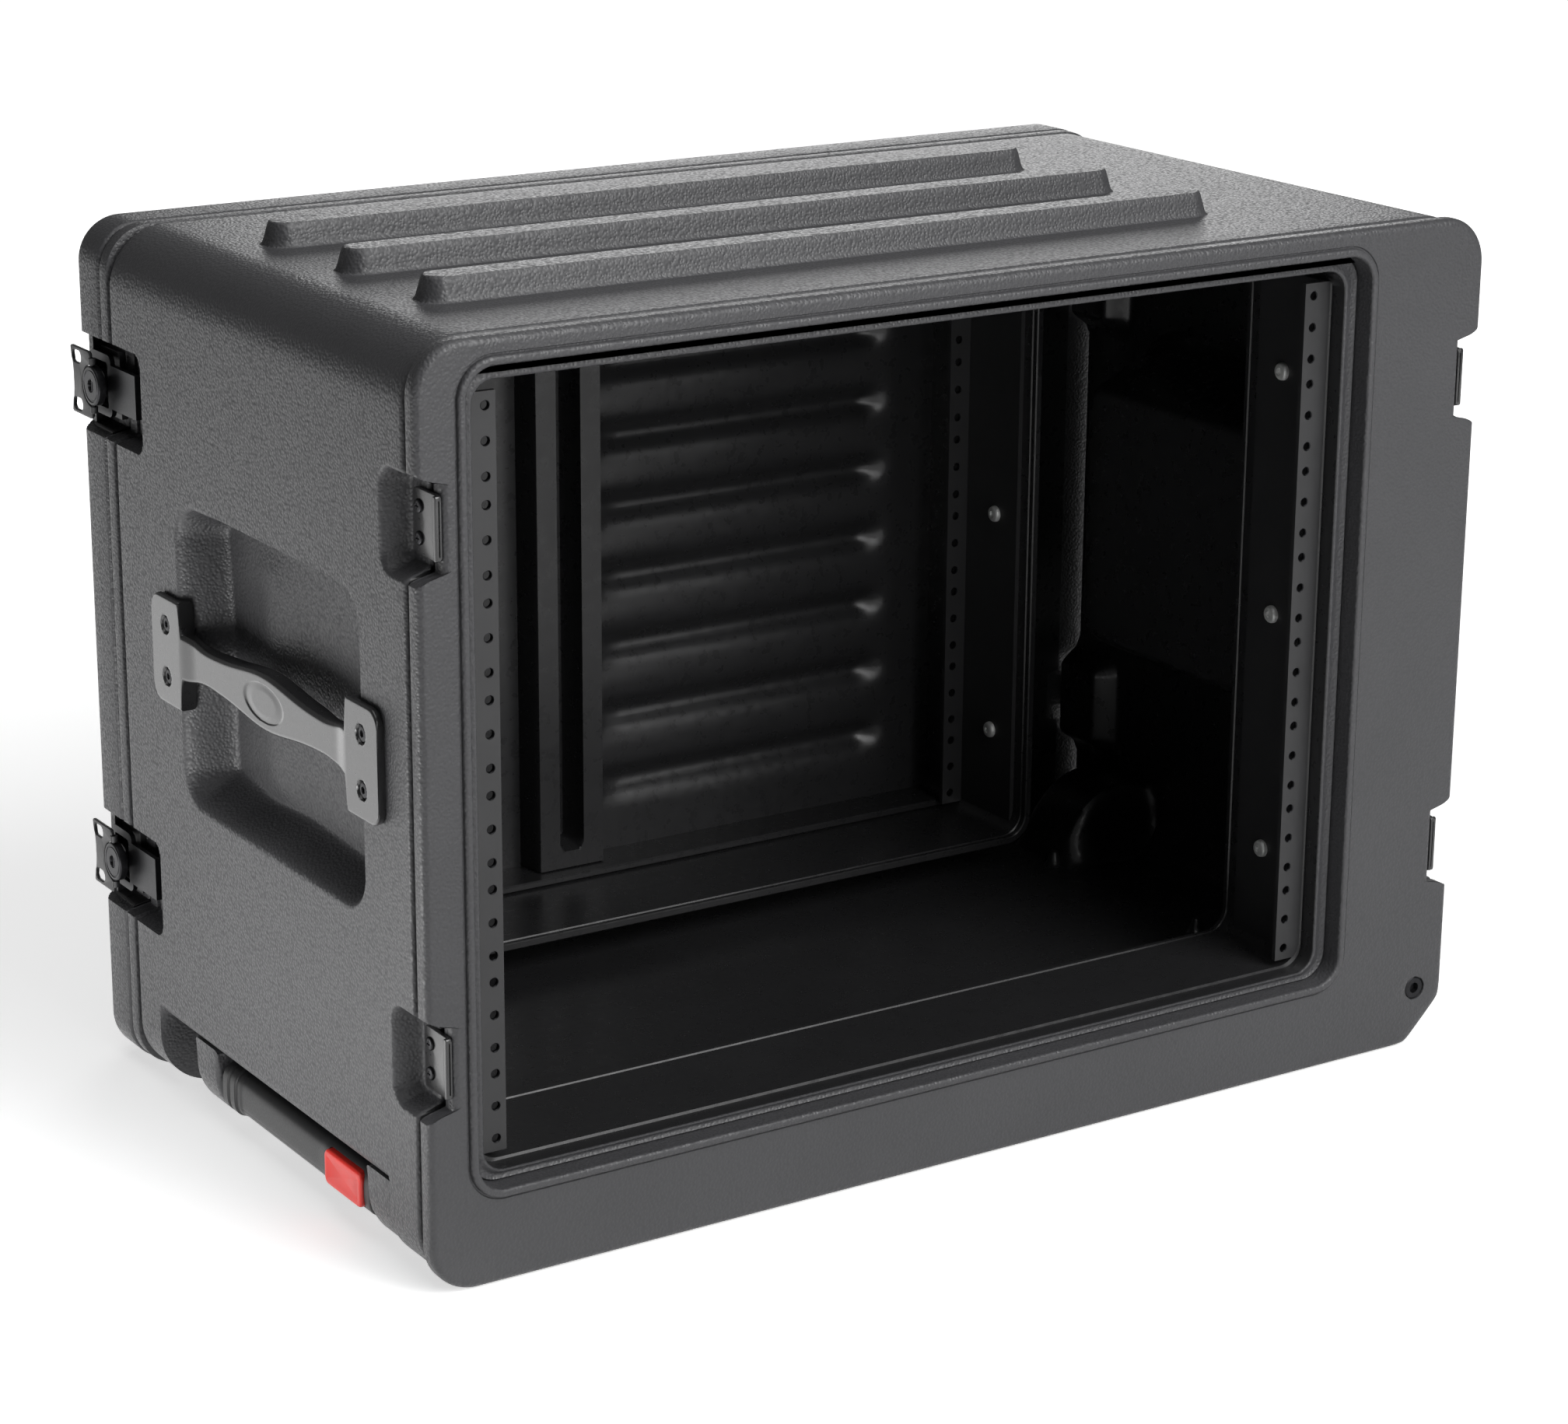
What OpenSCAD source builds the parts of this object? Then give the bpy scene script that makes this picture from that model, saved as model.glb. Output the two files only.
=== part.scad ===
// Shallow rolling rack case: body shell, end frames, rear lid with four twist latches,
// rack rails, carry handles, pull-out handle and wheels. All lengths in millimetres.
// X to the right of the case seen from its front, Y to its rear, Z up, ground at Z = 0.

/* [Rack bay] */
// Height of the bay in rack units
rack_units = 8; // [7:1:12]
// Height of one rack unit
unit_h = 44.45; // [44:0.05:45]
// Distance across the bay between the two columns of rack holes
hole_span = 465.1; // [460:0.1:475]
// Radius of a rack hole
hole_r = 2.4; // [1.8:0.1:3]
// First hole of a unit above the unit's lower end
hole_in = 6.35; // [5:0.05:8]

/* [Rails] */
// Sheet thickness of a rail
rail_t = 2.5; // [1.5:0.1:3]
// Hole centre to the inner edge of a rail
rail_in = 5.25; // [4.5:0.05:8]
// Hole centre to the outer face of a rail
rail_out = 10.45; // [9:0.05:14]
// Depth of a rail's side leg
rail_leg = 50; // [40:1:58]
// Front rails behind the face of the front frame
rail_set = 19; // [17:0.5:30]
// Rear rails behind the rear edge of the body shell
rail_back = 5; // [3:0.5:8]
// Rail screws behind the front face of the rail
rail_screw_y = 30; // [20:0.5:34]
// Outer rail screws above and below the middle one
rail_screw_z = 127; // [100:1:140]
// Radius of a rail screw's shank
rail_screw_r = 2.5; // [2:0.1:3]
// Jamb wall left behind the tip of a rail screw
rail_skin = 0.8; // [0.4:0.1:1.2]
// Radius of a rail screw's head
rail_head_r = 4.6; // [4:0.1:6]
// Height of a rail screw's head
rail_head_h = 2.8; // [2:0.1:4]

/* [Bands round the opening] */
// Face left of the opening
left_over = 25; // [24:0.5:60]
// Face right of the opening
right_over = 75; // [72:0.5:120]
// Face below the opening
below_over = 46.6; // [45:0.2:70]
// Face above the opening
top_over = 11.5; // [10.5:0.5:40]
// Opening wider than the rails on each side
open_side = 9; // [6:0.5:14]
// Opening below the rails' lower ends
open_below = 9.6; // [8:0.2:16]
// Opening above the rails' upper ends
open_above = 16.7; // [14:0.1:24]
// Corner radius of the opening
open_r = 14; // [8:0.5:18]
// Bay between the jambs below the rails' lower ends
jamb_below = 3.6; // [1:0.1:4]
// Bay between the jambs above the rails' upper ends
jamb_above = 10.2; // [4:0.1:10.4]
// Corner radius of the bay between the jambs
jamb_r = 12; // [8:0.5:14]
// Step between the opening and the jambs, out from the jambs
open_step = 4; // [2:0.1:4]

/* [Frames] */
// Depth of a frame moulding at the outside
frame_d = 10; // [8:0.5:16]
// Open seam between a frame and the body shell
seam = 2; // [1:0.1:3]
// Corner radius of the frames
frame_r = 24; // [18:0.5:30]
// Lip round the opening, height over the face
lip_h = 2; // [1:0.1:4]
// Lip round the opening, width
lip_w = 6; // [3:0.5:8]
// Ring behind the opening, thickness
ring_t = 4; // [3:0.5:5]
// Front jamb behind the rails' front face
jamb_front = 63; // [60:1:75]
// Rear jamb before the rear rails' face
jamb_rear = 62; // [60:1:75]
// Wall of the jambs
jamb_t = 4; // [3:0.2:4.4]
// Tabs that locate a frame in the body shell, length in the shell
tab_l = 14; // [8:1:20]
// Thickness of the tabs
tab_t = 4; // [3:0.5:5]
// Clearance of the tabs to the shell
tab_fit = 0.2; // [0.1:0.05:0.5]
// Tabs in from the sides of the case
tab_in = 75; // [72:1:120]

/* [Body shell] */
// Length of the body shell between its two seams
body_d = 304; // [296:1:380]
// Wall of the moulded shells
wall = 5; // [4:0.2:5.4]
// Height of the inner floor
floor_h = 32; // [31:0.5:35]
// Corner radius of the body shell
body_r = 30; // [24:0.5:36]
// Chamfer along the lower right edge
chamfer = 22; // [16:0.5:26]
// Count of the ribs on top
rib_n = 3; // [2:1:4]
// Distance between the ribs
rib_pitch = 77; // [60:1:84]
// Width of a rib
rib_w = 24; // [18:0.5:32]
// Height of a rib over the top
rib_h = 11.5; // [8:0.5:16]
// Left rib ends in from the left side
rib_left = 45; // [38:1:70]
// Right rib ends in from the right side
rib_right = 117; // [60:1:140]
// Corner radius of the ribs seen from above
rib_r = 9; // [4:0.5:9]
// Floor nub height
nub_h = 8; // [5:0.5:12]
// Floor nub radius at its foot
nub_r = 5; // [3:0.5:7]
// Right row of floor nubs in from the right wall and from the rear edge
nub_in = 60; // [50:1:70]
// Distance between floor nubs
nub_pitch = 130; // [100:1:140]
// Count of the floor nubs along the rear edge
nub_n = 3; // [1:1:3]
// Rear row of floor nubs before the rear edge
nub_rear = 12; // [10:0.5:20]

/* [Side pockets] */
// Handle screws beyond the pocket's ends
pocket_screw = 6.5; // [5.5:0.5:12]
// Height of a handle pocket
pocket_h = 154; // [130:1:170]
// Corner radius of a handle pocket
pocket_r = 20; // [12:0.5:30]
// Depth of the left pocket
pocket_left = 22; // [16:0.5:23]
// Depth of the right pocket
pocket_right = 55; // [30:0.5:60]
// Pockets and handles before the middle of the body shell
pocket_off = 11; // [6:0.5:12]
// Pockets above the middle of the bay
pocket_up = 9; // [0:0.5:15]

/* [Side handles] */
// Distance between the two screw plates of a handle
handle_span = 206.5; // [204:0.5:210]
// Plate thickness, which stands out of the side
handle_t = 4; // [3:0.2:6]
// Plate width
plate_w = 31; // [28:0.5:36]
// Plate height
plate_h = 55; // [48:0.5:62]
// Plate corner radius
plate_r = 8; // [4:0.5:10]
// Bow set back from the face of the plates
bow_set = 2; // [1:0.1:2.6]
// Bow thickness
bow_t = 10; // [7:0.5:12]
// Bow height at its narrow ends
bow_h = 18; // [14:0.5:22]
// Bow height in the middle
bow_mid = 28; // [24:0.5:36]
// Length of the bow's swell
bow_swell = 150; // [120:1:160]
// Gap between the bow and the pocket's ends
bow_gap = 0.4; // [0.2:0.1:1]
// Distance between the two screws of a plate
handle_screw_z = 26.4; // [22:0.2:32]
// Radius of a handle screw's shank
handle_screw_r = 2; // [1.6:0.1:2.6]
// Radius of a handle screw's head
handle_head_r = 4.3; // [3.6:0.1:5]
// Height of a handle screw's head
handle_head_h = 2; // [1.4:0.1:2.4]
// Clearance round a screw
screw_fit = 0.1; // [0.05:0.05:0.3]
// Clearance round a sunk screw head
head_fit = 0.5; // [0.2:0.1:1]

/* [Catches] */
// Catches and latches in from the rails' ends
catch_in = 53.4; // [45:0.2:70]
// Height of a notch
notch_h = 50; // [44:0.5:56]
// Depth of a notch
notch_d = 13; // [13:0.1:14]
// Front notches run into the body shell
notch_front = 23; // [20:0.5:30]
// Rear notches run into the body shell
notch_rear = 33; // [32:0.5:38]
// Height of a catch along the side
catch_h = 30; // [26:0.5:36]
// Front catch on the body shell behind the seam
catch_run = 11; // [9:0.5:15]
// Front catch plate thickness
catch_t = 2.2; // [1.8:0.1:4]
// Front catch lip over its plate
catch_lip = 1.2; // [0.8:0.1:2]
// Thickness of a catch lip
lip_t = 2.5; // [1.5:0.1:3]
// Distance between the two screws of a catch
catch_screw_z = 14.4; // [12:0.2:18]
// Catch screws behind the edge of the body shell
catch_screw_y = 5.5; // [5:0.1:7]
// Radius of a catch screw's shank
catch_screw_r = 1.8; // [1.4:0.1:2]
// Radius of a catch screw's head
catch_head_r = 3.2; // [2.6:0.1:3.4]
// Height of a catch screw's head
catch_head_h = 1.4; // [1:0.1:1.6]
// Catch screws into the shell's wall
catch_grip = 4; // [3:0.2:4]
// Rear keeper base thickness
keeper_t = 2; // [1.6:0.1:2.2]
// Rear keeper lip over its base
keeper_lip = 1.7; // [1:0.1:1.7]
// Rear keeper length
keeper_l = 15; // [13:0.5:17]

/* [Rear lid] */
// Depth of the rear lid
lid_d = 33; // [32:0.5:60]
// Gap between the lid and the rear frame
lid_gap = 1; // [0.5:0.1:2]
// Corner radius of the lid
lid_r = 22; // [16:0.5:28]
// Height of the ribs on the lid's panel
lid_rib_h = 5; // [3:0.5:6]
// Width of the ribs on the lid's panel
lid_rib_w = 26; // [22:0.5:32]
// Corner radius of the ribs on the lid's panel
lid_rib_r = 9; // [5:0.5:10]
// Distance between the ribs on the lid's panel
lid_pitch = 39.4; // [36:0.2:42]
// Count of the ribs on the lid's panel
lid_n = 8; // [4:1:8]
// Lowest rib above the lower end of the rails
lid_first = 52; // [40:1:60]
// Length of a rib on the lid's panel
lid_rib_l = 181; // [150:1:190]
// Groove radius inside each rib
groove_r = 14; // [12:0.5:18]
// Groove depth inside each rib
groove_d = 4; // [2:0.5:4.5]
// Middle strip of the lid's panel, width
strip_w = 54; // [40:1:60]
// Middle strip of the lid's panel, height over the panel
strip_t = 4; // [2:0.5:6]
// Middle strip left of the middle of the bay
strip_off = 6; // [0:0.5:12]
// Slot in the middle strip, width
slot_w = 25; // [16:0.5:30]
// Slot in the middle strip, corner radius
slot_r = 8; // [4:0.5:8]
// Slot in the middle strip, depth below the panel
slot_d = 2; // [0.5:0.5:3]
// Slot in the middle strip, in from the opening's ends
slot_in = 10; // [6:0.5:30]
// Lid tongue in the rear opening, length
tongue_l = 4; // [2:0.5:5]
// Lid tongue wall
tongue_t = 4; // [3:0.5:6]
// Clearance of the lid tongue in the rear opening
tongue_fit = 0.5; // [0.3:0.1:1.5]

/* [Latches] */
// Hub behind the lid's front edge
hub_in = 8.5; // [8:0.1:9]
// Radius of the hub disc
disc_r = 10; // [8:0.2:11]
// Hub disc over the side of the case
disc_up = 2.4; // [2:0.1:3]
// Hub disc thickness
disc_t = 4; // [3:0.1:4.4]
// Radius of the hub's upper shaft
shaft_r = 4; // [3:0.1:5]
// Radius of the cam
cam_r = 7; // [6.6:0.1:7.4]
// Throw of the cam
cam_off = 4; // [3.6:0.1:4]
// Radius of the hub's journal in the base
stub_r = 2.5; // [2:0.1:2.5]
// Running clearance of journals and hinge pins
run_fit = 0.05; // [0.02:0.01:0.1]
// Room of the hook's slot round the cam
cam_room = 1.3; // [1.2:0.1:1.6]
// Base plate thickness
base_t = 3; // [2:0.1:3.2]
// Base plate length
base_l = 27; // [24:0.5:30]
// Base plate height
base_h = 34; // [30:0.5:38]
// Boss of the base over its plate
boss_h = 2.4; // [2:0.1:2.5]
// Radius of the boss
boss_r = 6.5; // [5:0.5:8]
// Gap between pieces of a latch that move past each other
slip = 0.3; // [0.25:0.05:0.4]
// Hook thickness
hook_t = 2.5; // [1.8:0.1:2.5]
// Width of the hook's bars beside its slot
hook_bar = 4; // [3:0.5:5]
// Hook reach before the hub
hook_reach = 37; // [36:0.2:38]
// Hook tip width
hook_tip = 22; // [16:0.5:26]
// Hook lip thickness
hook_lip = 2.5; // [1.5:0.1:3]
// Wing length behind the hub
wing_l = 24; // [20:0.5:24]
// Wing height along the side
wing_h = 34; // [32:0.5:40]
// Wing thickness
wing_t = 1.8; // [1.2:0.1:2]
// Wing over the side of the case
wing_up = 0.5; // [0.4:0.05:0.8]
// Gap between the wing and the hub disc
wing_gap = 0.5; // [0.4:0.05:1]
// Radius of the wing's hinge pin
pin_r = 1; // [0.8:0.05:1.1]
// Hinge pin below the middle of the wing's thickness
pin_drop = 0.5; // [0.3:0.05:0.6]
// Wall round the hinge pin
knuckle_t = 0.9; // [0.7:0.05:1]
// Length of a knuckle
knuckle_l = 3.4; // [2.6:0.1:4]
// Border of the wing round its finger slots
wing_edge = 3; // [2:0.1:4]
// Finger slot width in the wing
wing_slot_w = 5; // [4:0.2:6]
// Finger slot corner radius in the wing
wing_slot_r = 1.6; // [0.8:0.1:1.8]
// Hollow of the wing's rear edge
wing_dish = 1; // [0.5:0.1:2]
// Finger slot length in the wing
wing_slot_l = 9; // [7:0.5:10]

/* [Pull handle] */
// Length of the recess
pull_l = 251; // [240:1:256]
// Depth of the recess
pull_d = 55; // [50:0.5:60]
// Height of the recess
pull_h = 43; // [41:0.2:43]
// Recess behind the middle of the body shell
pull_off = 1.5; // [0:0.1:4]
// Tray back plate thickness
tray_t = 4; // [3:0.2:6]
// Shoulder length beside the grip
shoulder_l = 26; // [20:0.5:30]
// Shoulders in from the outside of the case
shoulder_in = 1; // [0.5:0.1:3]
// Grip length
grip_l = 159; // [150:1:165]
// Grip in from the side of the case
grip_in = 3; // [2:0.1:5]
// Grip thickness
grip_t = 24; // [22:0.5:26]
// Grip height
grip_h = 24; // [22:0.5:26]
// Grip above the ground
grip_up = 13; // [12:0.2:15]
// Grip corner radius
grip_r = 8; // [5:0.5:10]
// Gap at the ends of the grip
grip_gap = 0.5; // [0.3:0.1:1]
// Collars on the grip, height
collar_t = 1; // [0.5:0.1:1.5]
// Collars on the grip, width
collar_w = 6; // [4:0.5:7]
// Collars on the grip, gap between them and to the grip's end
collar_gap = 2; // [1:0.5:4]
// Count of the collars on the grip
collar_n = 2; // [1:1:3]
// Distance between the two tubes
tube_gap = 110; // [100:1:116]
// Outer radius of a tube
tube_r = 6; // [5:0.1:6]
// Wall of a tube
tube_t = 1.4; // [1:0.1:2]
// Length of a tube
tube_l = 470; // [440:1:480]
// Tube in the grip, depth
tube_in = 10; // [6:0.5:11]
// Wall of a sleeve
sleeve_t = 1.6; // [1.2:0.1:1.6]
// Length of a sleeve
sleeve_l = 460; // [420:1:465]
// Sliding clearance between tube and sleeve
slide_fit = 0.08; // [0.03:0.01:0.1]
// Clearance of the sleeves in the shell
sleeve_fit = 0.1; // [0.05:0.05:0.2]
// Bays of the hollow under the floor
bay_n = 3; // [2:1:4]
// Solid ends of the hollow under the floor
bay_end = 12; // [8:0.5:16]

/* [Button] */
// Button length
button_l = 38; // [30:0.5:40]
// Button height
button_h = 18; // [14:0.5:19]
// Button thickness
button_t = 8.5; // [7:0.1:9]
// Button out of the grip's face
button_out = 1.5; // [1:0.1:2]
// Button in from the front end of the grip
button_in = 6.5; // [5:0.5:8]
// Button corner radius
button_r = 4; // [2:0.5:6]
// Gap round the button
button_gap = 0.3; // [0.2:0.05:0.5]
// Spring length
spring_l = 5; // [4.5:0.1:5]
// Spring outer radius
spring_r = 5; // [4:0.1:6]
// Spring wall
spring_t = 1.2; // [0.8:0.1:1.6]

/* [Wheels] */
// Wheel radius
wheel_r = 30; // [28:0.2:30.8]
// Wheel width
wheel_w = 24; // [20:0.5:28]
// Middle of a wheel in from the end of the body shell
wheel_end = 46.5; // [46.5:0.5:57]
// Axle in from the right side
axle_in = 19; // [16:0.2:22]
// Axle above the ground
axle_up = 31; // [31:0.2:34]
// Axle radius
axle_r = 4; // [3.5:0.1:4]
// Axle head radius
axle_head_r = 6; // [5.5:0.1:6.5]
// Axle head height
axle_head_h = 5; // [4:0.2:5.5]
// Axle head below the face of the frame
axle_sink = 0.5; // [0.3:0.1:1.5]
// Axle boss radius
axle_boss_r = 9; // [7:0.5:10]
// Room round a wheel in its well
well_room = 6; // [4:0.5:7]
// Radius of the wheel hub under the tyre
rim_r = 20; // [16:0.5:23]
// Bearing outer radius
bearing_r = 11; // [9.5:0.1:12]
// Bearing width
bearing_w = 7; // [5:0.1:8]
// Wheel hub bore between the bearings
hub_bore = 8; // [6:0.1:8.5]
// Seating clearance of a bearing or a tyre
seat_fit = 0.02; // [0.01:0.01:0.05]
// Spacer radius
spacer_r = 6; // [5:0.1:7]

/* [Hidden] */
$fn = 48;
eps = 1;

// Bay and outer sizes
rail_half = hole_span / 2 + rail_out;
open_half = rail_half + open_side;
rail_h = rack_units * unit_h;
hole_step = (unit_h - 2 * hole_in) / 2;
case_w = left_over + 2 * open_half + right_over;
bay_z = below_over + open_below + rail_h / 2;
case_h = bay_z + rail_h / 2 + open_above + top_over;
right_proud = max(wheel_r - axle_in, handle_t);
x_l = handle_t - (case_w + handle_t + right_proud) / 2;
x_r = x_l + case_w;
bay_x = x_l + left_over + open_half;

// Places along the depth
y_0 = -(lip_h + 2 * frame_d + 2 * seam + body_d + lid_gap + lid_d) / 2;
y_face = y_0 + lip_h;
y_f1 = y_face + frame_d;
y_b0 = y_f1 + seam;
y_b1 = y_b0 + body_d;
y_r0 = y_b1 + seam;
y_r1 = y_r0 + frame_d;
y_l0 = y_r1 + lid_gap;
y_l1 = y_l0 + lid_d;
y_lp = y_l1 - lid_rib_h;
y_li = y_lp - wall;
y_rf = y_face + rail_set;
y_rr = y_b1 + rail_back;
mid_y = (y_b0 + y_b1) / 2;
side_y = mid_y - pocket_off;
side_z = bay_z + pocket_up;
pocket_l = handle_span - 2 * pocket_screw;

// Catches and latches; u runs outward from the side of the case
catch_z = rail_h / 2 - catch_in;
hub_y = y_l0 + hub_in;
boss_u = -notch_d + base_t + boss_h;
hook_u0 = boss_u + slip;
hook_u1 = hook_u0 + hook_t;
keeper_u = -notch_d + keeper_t + keeper_lip;
hook_tip_u = keeper_u + slip;
keeper_y1 = hub_y - hook_reach + hook_lip + slip + lip_t;
pin_u = wing_up + wing_t / 2 - pin_drop;
knuckle_r = pin_r + run_fit + knuckle_t;
knuckle_z = disc_r + wing_gap + knuckle_l;

// Pull handle
pull_y = mid_y + pull_off;
pull_y0 = pull_y - pull_l / 2;
pull_y1 = pull_y + pull_l / 2;
grip_y0 = pull_y0 + shoulder_l + grip_gap;
grip_y1 = grip_y0 + grip_l;
grip_y = (grip_y0 + grip_y1) / 2;
tube_z = grip_up + tube_r;
sleeve_r = tube_r + slide_fit + sleeve_t;
tube_x0 = x_l + grip_in + grip_t - tube_in;
sleeve_x0 = x_l + pull_d;
button_x0 = x_l + grip_in - button_out;
button_x1 = button_x0 + button_t;
button_y0 = grip_y0 + button_in;
button_z = grip_up + grip_h / 2;

// Wheels
axle_x = x_r - axle_in;
wheel_gap = body_d - 2 * wheel_end;
well_r = wheel_r + well_room;
well_w = wheel_w + 2 * well_room;
under_x0 = sleeve_x0 + wall;
under_x1 = axle_x - well_r - 2 * wall;
under_step = (under_x1 - under_x0 + wall) / bay_n;

c_shell = [0.32, 0.32, 0.33];
c_black = [0.08, 0.08, 0.09];
c_zinc = [0.75, 0.75, 0.74];
c_latch = [0.2, 0.2, 0.21];
c_red = [0.75, 0.08, 0.08];
c_tyre = [0.15, 0.15, 0.15];

// Flat shapes and how they are drawn out

module rrect(a0, a1, b0, b1, r) {
  translate([a0 + r, b0]) square([a1 - a0 - 2 * r, b1 - b0]);
  translate([a0, b0 + r]) square([a1 - a0, b1 - b0 - 2 * r]);
  for (a = [a0 + r, a1 - r], b = [b0 + r, b1 - r]) translate([a, b]) circle(r);
}

module outline(r, inset = 0) {
  cut = chamfer + inset * sqrt(2);
  difference() {
    rrect(x_l + inset, x_r - inset, inset, case_h - inset, r - inset);
    polygon([[x_r - cut - eps, -eps], [x_r + eps, cut + eps], [x_r + eps, -eps]]);
  }
}

module bay_rect(side, below, above, r)
  rrect(bay_x - rail_half - side, bay_x + rail_half + side,
    bay_z - rail_h / 2 - below, bay_z + rail_h / 2 + above, r);

module jamb_rect(grow) bay_rect(grow, jamb_below + grow, jamb_above + grow, jamb_r + grow);

module yprism(y0, y1) translate([0, y1, 0]) rotate([90, 0, 0]) linear_extrude(y1 - y0) children();

module xprism(x0, x1) translate([x0, 0, 0]) rotate([90, 0, 90]) linear_extrude(x1 - x0) children();

module box(x0, x1, y0, y1, z0, z1) translate([x0, y0, z0]) cube([x1 - x0, y1 - y0, z1 - z0]);

module xcyl(x0, x1, y, z, r) translate([x0, y, z]) rotate([0, 90, 0]) cylinder(r = r, h = x1 - x0);

module ycyl(x, y0, y1, z, r) translate([x, y1, z]) rotate([90, 0, 0]) cylinder(r = r, h = y1 - y0);

// Local frame on a side of the case: X runs outward from the side, s is -1 left and 1 right
module on_side(s)
  if (s < 0) translate([x_l, 0, 0]) mirror([1, 0, 0]) children();
  else translate([x_r, 0, 0]) children();

module at_catch(s, t, y = 0) on_side(s) translate([0, y, bay_z + t * catch_z]) children();

module at_handle_screws(s)
  on_side(s) for (a = [-1, 1], b = [-1, 1])
    translate([0, side_y + a * handle_span / 2, side_z + b * handle_screw_z / 2]) children();

module at_front_catch_screws(s, t)
  at_catch(s, t, y_b0 + catch_screw_y) for (b = [-1, 1]) translate([0, 0, b * catch_screw_z / 2]) children();

module at_rear_catch_screws(s, t)
  at_catch(s, t, keeper_y1 - keeper_l + catch_head_r + screw_fit)
    for (b = [-1, 1]) translate([0, 0, b * catch_screw_z / 2]) children();

module notch(y0, y1, grow) box(-notch_d - grow, eps - grow, y0 - grow, y1 + grow,
  -notch_h / 2 - grow, notch_h / 2 + grow);

// Body shell

module pocket(s, depth, grow)
  on_side(s) xprism(-depth - grow, grow > 0 ? 0 : eps)
    rrect(side_y - pocket_l / 2 - grow, side_y + pocket_l / 2 + grow,
      side_z - pocket_h / 2 - grow, side_z + pocket_h / 2 + grow, pocket_r + grow);

module at_rear_nubs()
  for (i = [1:nub_n]) translate([x_r - nub_in - i * nub_pitch, y_b1 - nub_rear, floor_h]) children();

module shell_liners() {
  pocket(-1, pocket_left, wall);
  pocket(1, pocket_right, wall);
  for (s = [-1, 1], t = [-1, 1]) at_catch(s, t) {
    notch(y_b0, y_b0 + notch_front, wall);
    notch(y_b1 - notch_rear, y_b1, wall);
  }
  box(x_l, sleeve_x0 + wall, pull_y0 - wall, pull_y1 + wall, 0, pull_h + wall);
  for (s = [-1, 1]) {
    y = mid_y + s * wheel_gap / 2;
    ycyl(axle_x, y - well_w / 2 - wall, y + well_w / 2 + wall, axle_up, well_r + wall);
  }
  ycyl(axle_x, y_b0, y_b1, axle_up, axle_boss_r);
}

module shell_cuts() {
  pocket(-1, pocket_left, 0);
  pocket(1, pocket_right, 0);
  for (s = [-1, 1]) {
    at_handle_screws(s) xcyl(-wall - eps, eps, 0, 0, handle_screw_r + screw_fit);
    for (t = [-1, 1]) {
      at_catch(s, t) {
        notch(y_b0 - eps, y_b0 + notch_front, 0);
        notch(y_b1 - notch_rear, y_b1 + eps, 0);
      }
      at_front_catch_screws(s, t)
        xcyl(-notch_d - wall - eps, 0, 0, 0, catch_screw_r + screw_fit);
      at_rear_catch_screws(s, t)
        xcyl(-notch_d - wall - eps, 0, 0, 0, catch_screw_r + screw_fit);
    }
    y = mid_y + s * wheel_gap / 2;
    ycyl(axle_x, y - well_w / 2, y + well_w / 2, axle_up, well_r);
    end = s < 0 ? y_b0 - eps : y_b1 + eps;
    in = y - s * (well_w / 2 + wall + eps);
    ycyl(axle_x, min(end, in), max(end, in), axle_up, axle_r + screw_fit);
    xcyl(sleeve_x0 - eps, sleeve_x0 + sleeve_l + eps, grip_y + s * tube_gap / 2, tube_z,
      sleeve_r + sleeve_fit);
  }
  box(x_l - eps, sleeve_x0, pull_y0, pull_y1, -eps, pull_h);
  for (i = [0:bay_n - 1])
    box(under_x0 + i * under_step, under_x0 + (i + 1) * under_step - wall,
      y_b0 + bay_end, y_b1 - bay_end, -eps, floor_h - wall);
}

module body_shell() color(c_shell) difference() {
  union() {
    difference() {
      yprism(y_b0, y_b1) outline(body_r);
      yprism(y_b0 - eps, y_b1 + eps)
        rrect(x_l + wall, x_r - wall, floor_h, case_h - wall, body_r - wall);
    }
    intersection() {
      yprism(y_b0, y_b1) outline(body_r);
      shell_liners();
    }
    for (i = [0:rib_n - 1]) {
      y = mid_y + (i - (rib_n - 1) / 2) * rib_pitch - pocket_off / 2;
      translate([0, 0, case_h - wall / 2]) linear_extrude(rib_h + wall / 2)
        rrect(x_l + rib_left, x_r - rib_right, y - rib_w / 2, y + rib_w / 2, rib_r);
    }
    for (i = [0, 1]) translate([x_r - wall - nub_in, y_b1 - nub_in - i * nub_pitch, floor_h])
      cylinder(r1 = nub_r, r2 = nub_r / 2, h = nub_h);
    at_rear_nubs() cylinder(r1 = nub_r, r2 = nub_r / 2, h = nub_h);
  }
  shell_cuts();
}

// Frames

module frame_tabs(y0, y1) {
  z1 = case_h - wall - tab_fit;
  box(x_l + tab_in, x_r - tab_in, y0, y1, z1 - tab_t, z1);
  box(x_l + tab_in, x_r - tab_in, y0, y1, floor_h + tab_fit, floor_h + tab_fit + tab_t);
}

module rail_screw_holes(y)
  for (i = [-1:1]) xcyl(bay_x - rail_half - jamb_t + rail_skin, bay_x + rail_half + jamb_t - rail_skin, y,
    bay_z + i * rail_screw_z, rail_screw_r + screw_fit);

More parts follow.
